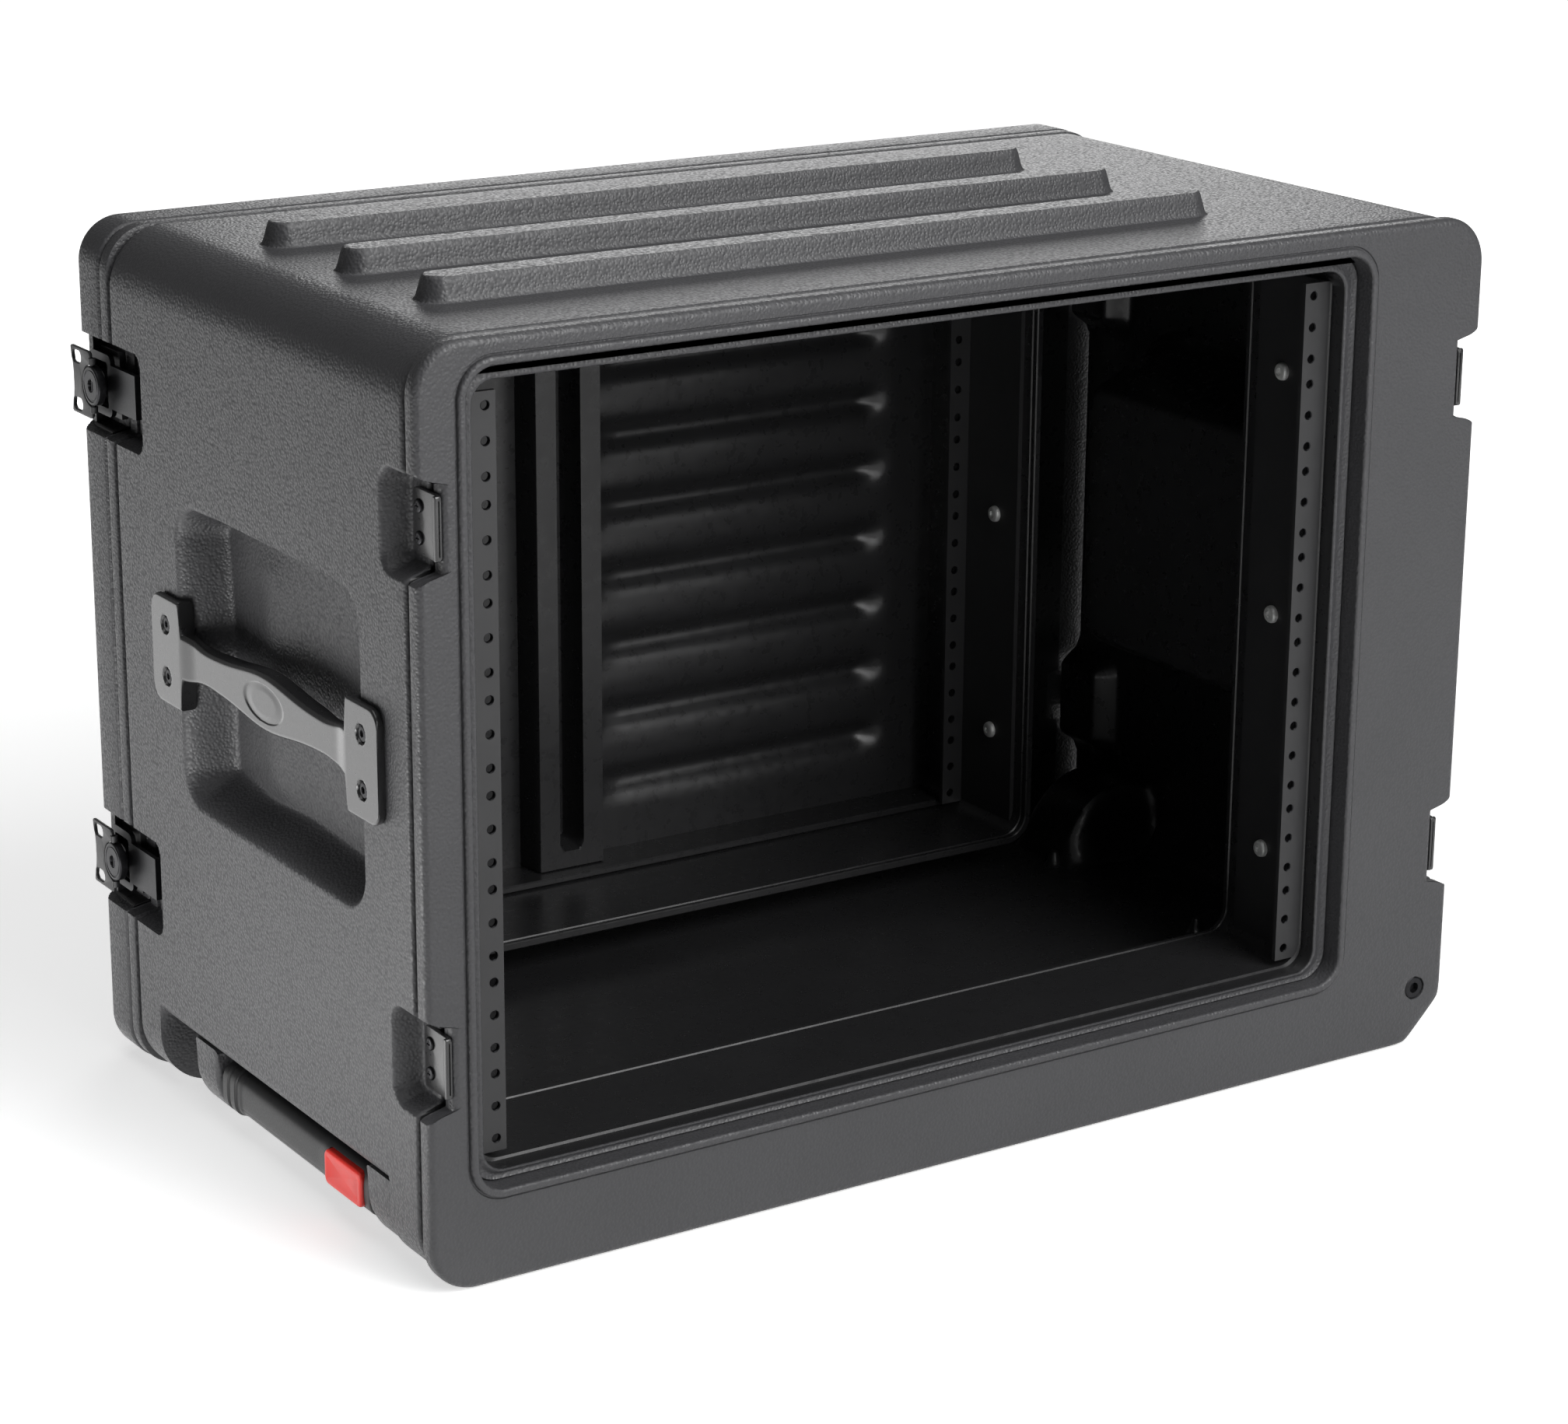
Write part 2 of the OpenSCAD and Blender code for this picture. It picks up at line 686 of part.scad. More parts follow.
module front_frame() color(c_shell) difference() {
  union() {
    yprism(y_face, y_f1) outline(frame_r);
    yprism(y_0, y_face + eps) bay_rect(open_side + lip_w, open_below + lip_w, open_above + lip_w,
      open_r + lip_w);
    yprism(y_f1 - eps, y_rf + ring_t)
      bay_rect(open_side + ring_t, open_below + ring_t, open_above + ring_t, open_r + ring_t);
    yprism(y_f1 - eps, y_rf + jamb_front) jamb_rect(jamb_t);
    frame_tabs(y_f1 - eps, y_b0 + tab_l);
  }
  yprism(y_0 - eps, y_f1) bay_rect(open_side, open_below, open_above, open_r);
  yprism(y_f1 - eps, y_rf) jamb_rect(open_step);
  yprism(y_f1 - eps, y_rf + jamb_front + eps) jamb_rect(0);
  for (s = [-1, 1], t = [-1, 1]) at_catch(s, t) notch(y_0 - eps, y_f1 + eps, 0);
  ycyl(axle_x, y_face, y_f1 + eps, axle_up, axle_r + screw_fit);
  ycyl(axle_x, y_face - eps, y_face + axle_sink + axle_head_h, axle_up, axle_head_r + head_fit);
  rail_screw_holes(y_rf + rail_screw_y);
}

module rear_frame() color(c_shell) difference() {
  union() {
    yprism(y_r0, y_r1) outline(frame_r);
    yprism(y_rr - jamb_rear, y_r0 + eps) jamb_rect(jamb_t);
    frame_tabs(y_b1 - tab_l, y_r0 + eps);
  }
  yprism(y_rr - jamb_rear - eps, y_r1 + eps) jamb_rect(0);
  at_rear_nubs() cylinder(r = nub_r + tab_fit, h = nub_h);
  for (s = [-1, 1], t = [-1, 1]) at_catch(s, t) notch(y_r0 - eps, y_r1 + eps, 0);
  ycyl(axle_x, y_r0 - eps, y_r1, axle_up, axle_r + screw_fit);
  ycyl(axle_x, y_r1 - axle_sink - axle_head_h, y_r1 + eps, axle_up, axle_head_r + head_fit);
  rail_screw_holes(y_rr - rail_screw_y);
}

// Rails; s is -1 left and 1 right, d is 1 for a front rail and -1 for a rear one

module at_rail(s, d) {
  translate([bay_x, d > 0 ? y_rf : y_rr, bay_z]) mirror([s < 0 ? 1 : 0, 0, 0])
    mirror([0, d < 0 ? 1 : 0, 0]) children();
}

module rail(s, d) color(c_black) at_rail(s, d) difference() {
  intersection() {
    union() {
      box(hole_span / 2 - rail_in, rail_half, 0, rail_t, -rail_h / 2, rail_h / 2);
      box(rail_half - rail_t, rail_half, 0, rail_leg, -rail_h / 2, rail_h / 2);
    }
    translate([-bay_x, 0, -bay_z]) yprism(-eps, rail_leg + eps) jamb_rect(0);
  }
  for (i = [0:rack_units - 1], j = [0:2])
    ycyl(hole_span / 2, -eps, rail_t + eps, -rail_h / 2 + i * unit_h + hole_in + j * hole_step, hole_r);
  for (i = [-1:1]) xcyl(rail_half - rail_t - eps, rail_half + eps, rail_screw_y, i * rail_screw_z,
    rail_screw_r + screw_fit);
}

module rail_front_left() rail(-1, 1);
module rail_front_right() rail(1, 1);
module rail_rear_left() rail(-1, -1);
module rail_rear_right() rail(1, -1);

module rail_screws() color(c_zinc)
  for (s = [-1, 1], d = [-1, 1], i = [-1:1]) at_rail(s, d) translate([0, rail_screw_y, i * rail_screw_z]) {
    xcyl(rail_half - rail_t - rail_head_h, rail_half - rail_t, 0, 0, rail_head_r);
    xcyl(rail_half - rail_t - rail_head_h / 2, rail_half + jamb_t - rail_skin - screw_fit, 0, 0,
      rail_screw_r);
  }

// Side handles

module side_handle(s) color(c_black) difference() {
  on_side(s) {
    for (a = [-1, 1]) {
      y = side_y + a * handle_span / 2;
      xprism(0, handle_t) rrect(y - plate_w / 2, y + plate_w / 2, side_z - plate_h / 2,
        side_z + plate_h / 2, plate_r);
    }
    swell_r = (pow(bow_swell / 2, 2) + pow(bow_mid / 2, 2)) / bow_mid;
    xprism(handle_t - bow_set - bow_t, handle_t - bow_set) translate([side_y, side_z]) {
      square([pocket_l - 2 * bow_gap, bow_h], center = true);
      intersection_for(b = [-1, 1]) translate([0, b * (swell_r - bow_mid / 2)]) circle(swell_r);
    }
  }
  at_handle_screws(s) {
    xcyl(-eps, handle_t + eps, 0, 0, handle_screw_r + screw_fit);
    xcyl(handle_t - handle_head_h - head_fit, handle_t + eps, 0, 0, handle_head_r + head_fit);
  }
}

module side_handle_left() side_handle(-1);
module side_handle_right() side_handle(1);

module handle_screws() color(c_zinc) for (s = [-1, 1]) at_handle_screws(s) {
  xcyl(handle_t - handle_head_h - head_fit, handle_t - head_fit, 0, 0, handle_head_r);
  xcyl(-wall - screw_fit, handle_t - handle_head_h, 0, 0, handle_screw_r);
}

// Catches

module front_catch(s, t) color(c_black) difference() {
  at_catch(s, t) {
    box(-notch_d, -notch_d + catch_t, y_face + eps, y_b0 + catch_run, -catch_h / 2, catch_h / 2);
    box(-notch_d, -notch_d + catch_t + catch_lip, y_face + eps, y_face + eps + lip_t,
      -catch_h / 2, catch_h / 2);
  }
  at_front_catch_screws(s, t) xcyl(-notch_d - eps, 0, 0, 0, catch_screw_r + screw_fit);
}

module rear_catch(s, t) color(c_black) difference() {
  at_catch(s, t) {
    box(-notch_d, -notch_d + keeper_t, keeper_y1 - keeper_l, keeper_y1, -catch_h / 2, catch_h / 2);
    box(-notch_d, keeper_u, keeper_y1 - lip_t, keeper_y1, -hook_tip / 2, hook_tip / 2);
  }
  at_rear_catch_screws(s, t) xcyl(-notch_d - eps, 0, 0, 0, catch_screw_r + screw_fit);
}

module front_catch_upper_left() front_catch(-1, 1);
module front_catch_lower_left() front_catch(-1, -1);
module front_catch_upper_right() front_catch(1, 1);
module front_catch_lower_right() front_catch(1, -1);
module rear_catch_upper_left() rear_catch(-1, 1);
module rear_catch_lower_left() rear_catch(-1, -1);
module rear_catch_upper_right() rear_catch(1, 1);
module rear_catch_lower_right() rear_catch(1, -1);

module catch_screw(seat) {
  xcyl(seat, seat + catch_head_h, 0, 0, catch_head_r);
  xcyl(-notch_d - catch_grip, seat + catch_head_h / 2, 0, 0, catch_screw_r);
}

module catch_screws() color(c_black) for (s = [-1, 1], t = [-1, 1]) {
  at_front_catch_screws(s, t) catch_screw(-notch_d + catch_t);
  at_rear_catch_screws(s, t) catch_screw(-notch_d + keeper_t);
}

// Rear lid

module lid_bars() for (s = [-1, 1], i = [0:lid_n - 1])
  translate([bay_x - strip_off + s * (strip_w + lid_rib_l) / 2, 0,
    bay_z - rail_h / 2 + lid_first + i * lid_pitch]) children();

module rear_lid() color(c_shell) difference() {
  union() {
    difference() {
      yprism(y_l0, y_lp) outline(lid_r);
      yprism(y_l0 - eps, y_li) outline(lid_r, wall);
    }
    lid_bars() yprism(y_lp - eps, y_l1)
      rrect(-lid_rib_l / 2, lid_rib_l / 2, -lid_rib_w / 2, lid_rib_w / 2, lid_rib_r);
    difference() {
      yprism(y_l0 - tongue_l, y_li + eps) jamb_rect(-tongue_fit);
      yprism(y_l0 - tongue_l - eps, y_li) jamb_rect(-tongue_fit - tongue_t);
    }
    intersection() {
      yprism(y_li - strip_t, y_li + eps) jamb_rect(-tongue_fit);
      box(bay_x - strip_off - strip_w / 2, bay_x - strip_off + strip_w / 2, y_li - strip_t, y_li + eps,
        0, case_h);
    }
    intersection() {
      yprism(y_l0, y_lp) outline(lid_r);
      for (s = [-1, 1], t = [-1, 1]) at_catch(s, t) notch(y_l0, y_l1, wall);
    }
  }
  for (s = [-1, 1], t = [-1, 1]) at_catch(s, t) notch(y_l0 - eps, y_l1 + eps, 0);
  lid_bars() xcyl(-lid_rib_l / 2, lid_rib_l / 2, y_li - groove_r + groove_d, 0, groove_r);
  yprism(y_li - strip_t - eps, y_li + slot_d)
    rrect(bay_x - strip_off - slot_w / 2, bay_x - strip_off + slot_w / 2,
      bay_z - rail_h / 2 + slot_in, bay_z + rail_h / 2 - slot_in, slot_r);
}

// Latches, each in its own frame with the hub's axis along local X at the origin

module latch_base(s, t) color(c_black) at_catch(s, t, hub_y) difference() {
  union() {
    box(-notch_d, -notch_d + base_t, eps / 2 - hub_in, base_l - hub_in, -base_h / 2, base_h / 2);
    xcyl(-notch_d, boss_u, 0, 0, boss_r);
  }
  xcyl(-notch_d - eps, boss_u + eps, 0, 0, stub_r + run_fit);
}

module latch_hub(s, t) color(c_latch) at_catch(s, t, hub_y) {
  xcyl(-notch_d + slip, hook_u0 + hook_t / 2, 0, 0, stub_r);
  xcyl(hook_u0, hook_u1, cam_off, 0, cam_r);
  xcyl(hook_u1 - slip, disc_up - disc_t / 2, 0, 0, shaft_r);
  xcyl(disc_up - disc_t, disc_up, 0, 0, disc_r);
  translate([pin_u, 0, -knuckle_z]) cylinder(r = pin_r, h = 2 * knuckle_z);
}

module latch_wing(s, t) color(c_black) at_catch(s, t, hub_y) difference() {
  union() {
    xprism(wing_up, wing_up + wing_t) difference() {
      rrect(0, wing_l, -wing_h / 2, wing_h / 2, wing_slot_w / 2);
      circle(disc_r + wing_gap);
      translate([wing_l + wing_h, 0]) circle(wing_h + wing_dish);
      for (b = [-1, 1]) translate([0, b * (wing_h / 2 - wing_slot_w / 2 - wing_edge)])
        rrect(wing_l - wing_edge - wing_slot_l, wing_l - wing_edge, -wing_slot_w / 2, wing_slot_w / 2,
          wing_slot_r);
    }
    for (b = [-1, 1]) translate([pin_u, 0, b * (knuckle_z - knuckle_l / 2)])
      cylinder(r = knuckle_r, h = knuckle_l, center = true);
  }
  translate([pin_u, 0, -knuckle_z - eps]) cylinder(r = pin_r + run_fit, h = 2 * (knuckle_z + eps));
}

module latch_hook(s, t) color(c_latch) at_catch(s, t, hub_y) {
  slot_y0 = cam_off - cam_r - cam_room;
  slot_y1 = cam_off + cam_r + cam_room;
  slot_z = cam_r + cam_off + cam_room / 2;
  xprism(hook_u0, hook_u1) difference() {
    union() {
      rrect(slot_y0 - hook_bar, slot_y1 + hook_bar, -slot_z - hook_bar, slot_z + hook_bar, hook_bar);
      translate([-hook_reach, -hook_tip / 2]) square([hook_reach + slot_y0, hook_tip]);
    }
    rrect(slot_y0, slot_y1, -slot_z, slot_z, cam_room);
  }
  box(hook_tip_u, hook_u1, -hook_reach, hook_lip - hook_reach, -hook_tip / 2, hook_tip / 2);
}

module latch_base_upper_left() latch_base(-1, 1);
module latch_base_lower_left() latch_base(-1, -1);
module latch_base_upper_right() latch_base(1, 1);
module latch_base_lower_right() latch_base(1, -1);
module latch_hub_upper_left() latch_hub(-1, 1);
module latch_hub_lower_left() latch_hub(-1, -1);
module latch_hub_upper_right() latch_hub(1, 1);
module latch_hub_lower_right() latch_hub(1, -1);
module latch_wing_upper_left() latch_wing(-1, 1);
module latch_wing_lower_left() latch_wing(-1, -1);
module latch_wing_upper_right() latch_wing(1, 1);
module latch_wing_lower_right() latch_wing(1, -1);
module latch_hook_upper_left() latch_hook(-1, 1);
module latch_hook_lower_left() latch_hook(-1, -1);
module latch_hook_upper_right() latch_hook(1, 1);
module latch_hook_lower_right() latch_hook(1, -1);

// Pull handle

module pull_tray() color(c_shell) difference() {
  intersection() {
    yprism(pull_y0, pull_y1) outline(body_r, shoulder_in);
    union() {
      box(sleeve_x0 - tray_t, sleeve_x0, pull_y0, pull_y1, 0, pull_h);
      box(x_l, sleeve_x0, pull_y0, pull_y0 + shoulder_l, 0, pull_h);
      box(x_l, sleeve_x0, grip_y1 + grip_gap, grip_y1 + grip_gap + shoulder_l, 0, pull_h);
    }
  }
  for (s = [-1, 1]) xcyl(sleeve_x0 - tray_t - eps, sleeve_x0 + eps, grip_y + s * tube_gap / 2, tube_z,
    tube_r + slide_fit + sleeve_t / 2);
}

module pull_sleeve(s) color(c_zinc) difference() {
  xcyl(sleeve_x0, sleeve_x0 + sleeve_l, grip_y + s * tube_gap / 2, tube_z, sleeve_r);
  xcyl(sleeve_x0 - eps, sleeve_x0 + sleeve_l + eps, grip_y + s * tube_gap / 2, tube_z, tube_r + slide_fit);
}

module pull_tube(s) color(c_zinc) difference() {
  xcyl(tube_x0, tube_x0 + tube_l, grip_y + s * tube_gap / 2, tube_z, tube_r);
  xcyl(tube_x0 - eps, tube_x0 + tube_l + eps, grip_y + s * tube_gap / 2, tube_z, tube_r - tube_t);
}

module pull_sleeve_front() pull_sleeve(-1);
module pull_sleeve_rear() pull_sleeve(1);
module pull_tube_front() pull_tube(-1);
module pull_tube_rear() pull_tube(1);

module grip_section(grow)
  rrect(x_l + grip_in - grow, x_l + grip_in + grip_t + grow, grip_up - grow, grip_up + grip_h + grow,
    grip_r + grow);

module button_rect(grow)
  rrect(button_y0 - grow, button_y0 + button_l + grow, button_z - button_h / 2 - grow,
    button_z + button_h / 2 + grow, button_r + grow);

module pull_grip() color(c_black) difference() {
  union() {
    yprism(grip_y0, grip_y1) grip_section(0);
    for (i = [0:collar_n - 1]) {
      y = grip_y1 - collar_gap - i * (collar_w + collar_gap);
      yprism(y - collar_w, y) grip_section(collar_t);
    }
  }
  xprism(x_l - eps, button_x1 + spring_l) button_rect(button_gap);
  for (s = [-1, 1]) xcyl(tube_x0, x_l + grip_in + grip_t + eps, grip_y + s * tube_gap / 2, tube_z,
    tube_r + seat_fit);
}

module pull_button() color(c_red) xprism(button_x0, button_x1) button_rect(0);

module button_spring() color(c_zinc) difference() {
  xcyl(button_x1, button_x1 + spring_l, button_y0 + button_l / 2, button_z, spring_r);
  xcyl(button_x1 - eps, button_x1 + spring_l + eps, button_y0 + button_l / 2, button_z,
    spring_r - spring_t);
}

// Wheels; s is -1 for the front wheel and 1 for the rear one

module at_wheel(s) translate([axle_x, mid_y + s * wheel_gap / 2, axle_up]) children();

module wheel_tyre(s) color(c_tyre) at_wheel(s) difference() {
  ycyl(0, -wheel_w / 2, wheel_w / 2, 0, wheel_r);
  ycyl(0, -wheel_w / 2 - eps, wheel_w / 2 + eps, 0, rim_r + seat_fit);
}

module wheel_hub(s) color(c_black) at_wheel(s) difference() {
  ycyl(0, -wheel_w / 2, wheel_w / 2, 0, rim_r);
  ycyl(0, -wheel_w / 2 - eps, wheel_w / 2 + eps, 0, hub_bore);
  for (a = [-1, 1])
    ycyl(0, a * wheel_w / 2 - bearing_w, a * wheel_w / 2 + bearing_w, 0, bearing_r + seat_fit);
}

module wheel_bearings(s) color(c_zinc) at_wheel(s) for (a = [-1, 1])
  translate([0, a * (wheel_w - bearing_w) / 2, 0]) difference() {
    ycyl(0, -bearing_w / 2, bearing_w / 2, 0, bearing_r);
    ycyl(0, -bearing_w / 2 - eps, bearing_w / 2 + eps, 0, axle_r + run_fit);
  }

module front_wheel_tyre() wheel_tyre(-1);
module front_wheel_hub() wheel_hub(-1);
module front_wheel_bearings() wheel_bearings(-1);
module rear_wheel_tyre() wheel_tyre(1);
module rear_wheel_hub() wheel_hub(1);
module rear_wheel_bearings() wheel_bearings(1);

module axle_bolts() color(c_zinc) {
  in = wheel_gap / 2 - well_w / 2 - wall;
  ycyl(axle_x, y_face + axle_sink, y_face + axle_sink + axle_head_h, axle_up, axle_head_r);
  ycyl(axle_x, y_face + axle_sink + axle_head_h / 2, mid_y - in, axle_up, axle_r);
  ycyl(axle_x, y_r1 - axle_sink - axle_head_h, y_r1 - axle_sink, axle_up, axle_head_r);
  ycyl(axle_x, mid_y + in, y_r1 - axle_sink - axle_head_h / 2, axle_up, axle_r);
}

module wheel_spacers() color(c_zinc) for (s = [-1, 1], a = [-1, 1]) at_wheel(s) {
  y0 = wheel_w / 2 + slip;
  y1 = well_w / 2;
  difference() {
    ycyl(0, min(a * y0, a * y1), max(a * y0, a * y1), 0, spacer_r);
    ycyl(0, -well_w, well_w, 0, axle_r + run_fit);
  }
}

body_shell();
front_frame();
rear_frame();
rear_lid();
rail_front_left();
rail_front_right();
rail_rear_left();
rail_rear_right();
rail_screws();
side_handle_left();
side_handle_right();
handle_screws();
front_catch_upper_left();
front_catch_lower_left();
front_catch_upper_right();
front_catch_lower_right();
rear_catch_upper_left();
rear_catch_lower_left();
rear_catch_upper_right();
rear_catch_lower_right();
catch_screws();
latch_base_upper_left();
latch_base_lower_left();
latch_base_upper_right();
latch_base_lower_right();
latch_hub_upper_left();
latch_hub_lower_left();
latch_hub_upper_right();
latch_hub_lower_right();
latch_wing_upper_left();
latch_wing_lower_left();
latch_wing_upper_right();
latch_wing_lower_right();
latch_hook_upper_left();
latch_hook_lower_left();
latch_hook_upper_right();
latch_hook_lower_right();
pull_tray();
pull_sleeve_front();
pull_sleeve_rear();
pull_tube_front();
pull_tube_rear();
pull_grip();
pull_button();
button_spring();
front_wheel_tyre();
front_wheel_hub();
front_wheel_bearings();
rear_wheel_tyre();
rear_wheel_hub();
rear_wheel_bearings();
axle_bolts();
wheel_spacers();
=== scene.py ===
import math

import bmesh
import bpy
import numpy as np
from mathutils import Matrix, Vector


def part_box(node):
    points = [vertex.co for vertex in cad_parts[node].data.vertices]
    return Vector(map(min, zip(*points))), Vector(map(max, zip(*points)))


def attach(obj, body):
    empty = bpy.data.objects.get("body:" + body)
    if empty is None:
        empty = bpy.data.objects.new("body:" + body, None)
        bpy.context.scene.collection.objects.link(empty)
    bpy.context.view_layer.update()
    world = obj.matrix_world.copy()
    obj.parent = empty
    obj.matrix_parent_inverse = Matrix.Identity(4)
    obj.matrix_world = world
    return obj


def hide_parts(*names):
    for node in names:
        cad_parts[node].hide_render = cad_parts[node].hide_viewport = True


bl_info = {
    "name": "Rolling rack case",
    "version": (1, 0, 0),
    "blender": (4, 5, 0),
    "location": "View3D > Sidebar > Rack case",
    "description": "Dresses the packed rack case: moulded shells, handles, latches, pull handle and wheels",
    "category": "Object",
}

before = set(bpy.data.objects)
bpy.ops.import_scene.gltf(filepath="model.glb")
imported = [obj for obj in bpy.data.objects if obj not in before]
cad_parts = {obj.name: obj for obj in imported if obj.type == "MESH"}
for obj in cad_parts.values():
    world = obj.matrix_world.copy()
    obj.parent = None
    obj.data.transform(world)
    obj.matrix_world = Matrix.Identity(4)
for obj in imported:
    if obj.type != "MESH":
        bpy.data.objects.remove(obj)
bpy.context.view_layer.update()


def span(node):
    """The node's box in millimetres: x0, y0, z0, x1, y1, z1."""
    lo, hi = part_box(node)
    return [1000.0 * c for c in (*lo, *hi)]


# Places that every piece shares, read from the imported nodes, in millimetres
XL, YB0, _, XR, YB1, RIB_TOP = span("body_shell")
_, Y_LIP, _, _, JAMB_F, TOP = span("front_frame")
_, JAMB_R, _, _, YR1, _ = span("rear_frame")
_, TONGUE, _, _, LID_BACK, _ = span("rear_lid")
RAIL = span("rail_front_left")
RAIL_R = span("rail_front_right")
RAIL_REAR = span("rail_rear_left")
BAY_X = (RAIL[0] + RAIL_R[3]) / 2
BAY_Z = (RAIL[2] + RAIL[5]) / 2
RAIL_HALF = RAIL_R[3] - BAY_X
RAIL_Y = RAIL[1]
GRIP = span("pull_grip")
TRAY = span("pull_tray")
BUTTON = span("pull_button")
TYRES = [span("front_wheel_tyre"), span("rear_wheel_tyre")]
AXLE_X = (TYRES[0][0] + TYRES[0][3]) / 2
AXLE_Z = (TYRES[0][2] + TYRES[0][5]) / 2
HANDLE = span("side_handle_left")
HANDLE_Y = (HANDLE[1] + HANDLE[4]) / 2
HANDLE_Z = (HANDLE[2] + HANDLE[5]) / 2
CORNERS = ("upper_left", "lower_left", "upper_right", "lower_right")
LATCH_Z = [(span("latch_wing_" + k)[2] + span("latch_wing_" + k)[5]) / 2 for k in CORNERS[:2]]
HUB_Y = (span("latch_hub_upper_left")[1] + span("latch_hub_upper_left")[4]) / 2
FRONT_PLATE, KEEPER_PLATE = 2.2, 2.0
HANDLE_SCREW_Y, HANDLE_SCREW_Z, CATCH_SCREW_Z = 103.25, 13.2, 7.2
RACK_UNITS, HOLE_HALF, HOLE_EDGE, RAIL_SCREW_STEP = 8, 232.55, 6.35, 127
FOCAL_PX, FRAME_PX, CAMERA_PLACE = 5102.9, 2016, (-1.06591, -1.63630, 0.78906)


def linear(code):
    """An sRGB hex value as linear red, green and blue."""
    c = np.array([int(code[i:i + 2], 16) for i in (1, 3, 5)]) / 255.0
    return tuple(np.where(c <= 0.04045, c / 12.92, ((c + 0.055) / 1.055) ** 2.4))


# Sizes and colours that a user would change


def length(name, text, value):
    return bpy.props.FloatProperty(name=name, description=text, default=value / 1000, unit="LENGTH",
                                   precision=4)


def colour(name, text, code):
    return bpy.props.FloatVectorProperty(name=name, description=text, subtype="COLOR", size=3, min=0, max=1,
                                         default=linear(code))


class RackCaseSizes(bpy.types.PropertyGroup):
    body_r: length("Body corner", "Corner radius of the body shell", 30)
    frame_r: length("Frame corner", "Corner radius of the two frames", 24)
    lid_r: length("Lid corner", "Corner radius of the rear lid", 22)
    chamfer: length("Wheel chamfer", "Chamfer along the lower right edge", 22)
    wall: length("Wall", "Wall of the moulded shells", 5)
    floor_h: length("Floor", "Height of the inner floor", 32)
    seam: length("Seam", "Open seam between a frame and the body shell", 3)
    soft: length("Soft edge", "Radius of the moulded outer edges", 2)
    lip_w: length("Lip", "Width of the lip round the opening", 4.2)
    rib_w: length("Rib width", "Width of a rib on top", 24)
    rib_pitch: length("Rib pitch", "Distance between the ribs on top", 77)
    pocket_h: length("Pocket height", "Height of a handle pocket", 154)
    pocket_l: length("Pocket length", "Length of a handle pocket", 193.5)
    pocket_left: length("Left pocket", "Depth of the left handle pocket", 22)
    pocket_right: length("Right pocket", "Depth of the right handle pocket", 55)
    notch_h: length("Notch height", "Height of a latch notch", 50)
    notch_d: length("Notch depth", "Depth of a latch notch", 13)
    lid_pitch: length("Lid corrugation", "Distance between the corrugations of the lid", 39.4)


class RackCaseColours(bpy.types.PropertyGroup):
    shell: colour("Shell", "Pebbled charcoal polyethylene", "#424244")
    # Inside colour: darker than the shell partly for the smoother inner skin and partly as painted shade of the
    # closed interior
    inside: colour("Inside", "Smooth inner face of the shells", "#262627")
    nylon: colour("Nylon", "Carry handles and catches", "#222223")
    paint: colour("Paint", "Powder coat of the rails and latch plates", "#303031")
    zinc: colour("Zinc", "Plated screws and threads", "#dcdddb")
    button: colour("Button", "Release button of the pull handle", "#f5392f")
    rubber: colour("Rubber", "Wheel tyres", "#232324")
    floor: colour("Floor", "Studio floor", "#f4f4f4")


def sizes():
    """The size settings in millimetres, as plain attributes."""
    group = bpy.context.scene.rack_case_sizes
    return type("Sizes", (), {k: 1000 * getattr(group, k) for k in RackCaseSizes.__annotations__})


def colours():
    return bpy.context.scene.rack_case_colours


# Surfaces: every piece is one or more grids of points


def piece(name, parts, body, mats, nodes=(), sharp=42):
    """Joins grids into one mesh. A part is (points[u, v, xyz] in mm, (u closed, v closed), material per v
    or a number). Neighbouring points of a grid make quads, those of material -1 are left out, poles are
    merged, and each closed shell is turned outwards."""
    co, quads, index, base = [], [], [], 0
    for pts, (cu, cv), zone in parts:
        nu, nv = pts.shape[:2]
        i = np.arange(nu if cu else nu - 1)[:, None]
        j = np.arange(nv if cv else nv - 1)[None, :]
        k, l = (i + 1) % nu, (j + 1) % nv
        q = np.stack([i * nv + j, k * nv + j, k * nv + l, i * nv + l], -1) + base
        index.append((np.zeros(q.shape[:2], int) + np.asarray(zone)[..., :q.shape[1]] if np.ndim(zone)
                      else np.full(q.shape[:2], zone)).ravel())
        quads.append(q.reshape(-1, 4)[index[-1] >= 0])
        index[-1] = index[-1][index[-1] >= 0]
        co.append(pts.reshape(-1, 3))
        base += nu * nv
    co, quads, index = np.concatenate(co) / 1000, np.concatenate(quads), np.concatenate(index)
    mesh = bpy.data.meshes.new(name)
    mesh.vertices.add(len(co))
    mesh.vertices.foreach_set("co", co.astype(np.float32).ravel())
    mesh.loops.add(4 * len(quads))
    mesh.loops.foreach_set("vertex_index", quads.astype(np.int32).ravel())
    mesh.polygons.add(len(quads))
    mesh.polygons.foreach_set("loop_start", np.arange(0, 4 * len(quads), 4, dtype=np.int32))
    mesh.polygons.foreach_set("material_index", index.astype(np.int32))
    mesh.update(calc_edges=True)
    bm = bmesh.new()
    bm.from_mesh(mesh)
    bmesh.ops.remove_doubles(bm, verts=bm.verts, dist=2e-6)
    bmesh.ops.dissolve_degenerate(bm, edges=bm.edges, dist=1e-6)
    bmesh.ops.recalc_face_normals(bm, faces=bm.faces)
    bm.to_mesh(mesh)
    bm.free()
    mesh.polygons.foreach_set("use_smooth", np.ones(len(mesh.polygons), bool))
    mesh.set_sharp_from_angle(angle=math.radians(sharp))
    for mat in mats:
        mesh.materials.append(mat)
    obj = bpy.data.objects.new(name, mesh)
    bpy.context.scene.collection.objects.link(obj)
    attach(obj, body)
    if nodes:
        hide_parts(*nodes)
    return obj


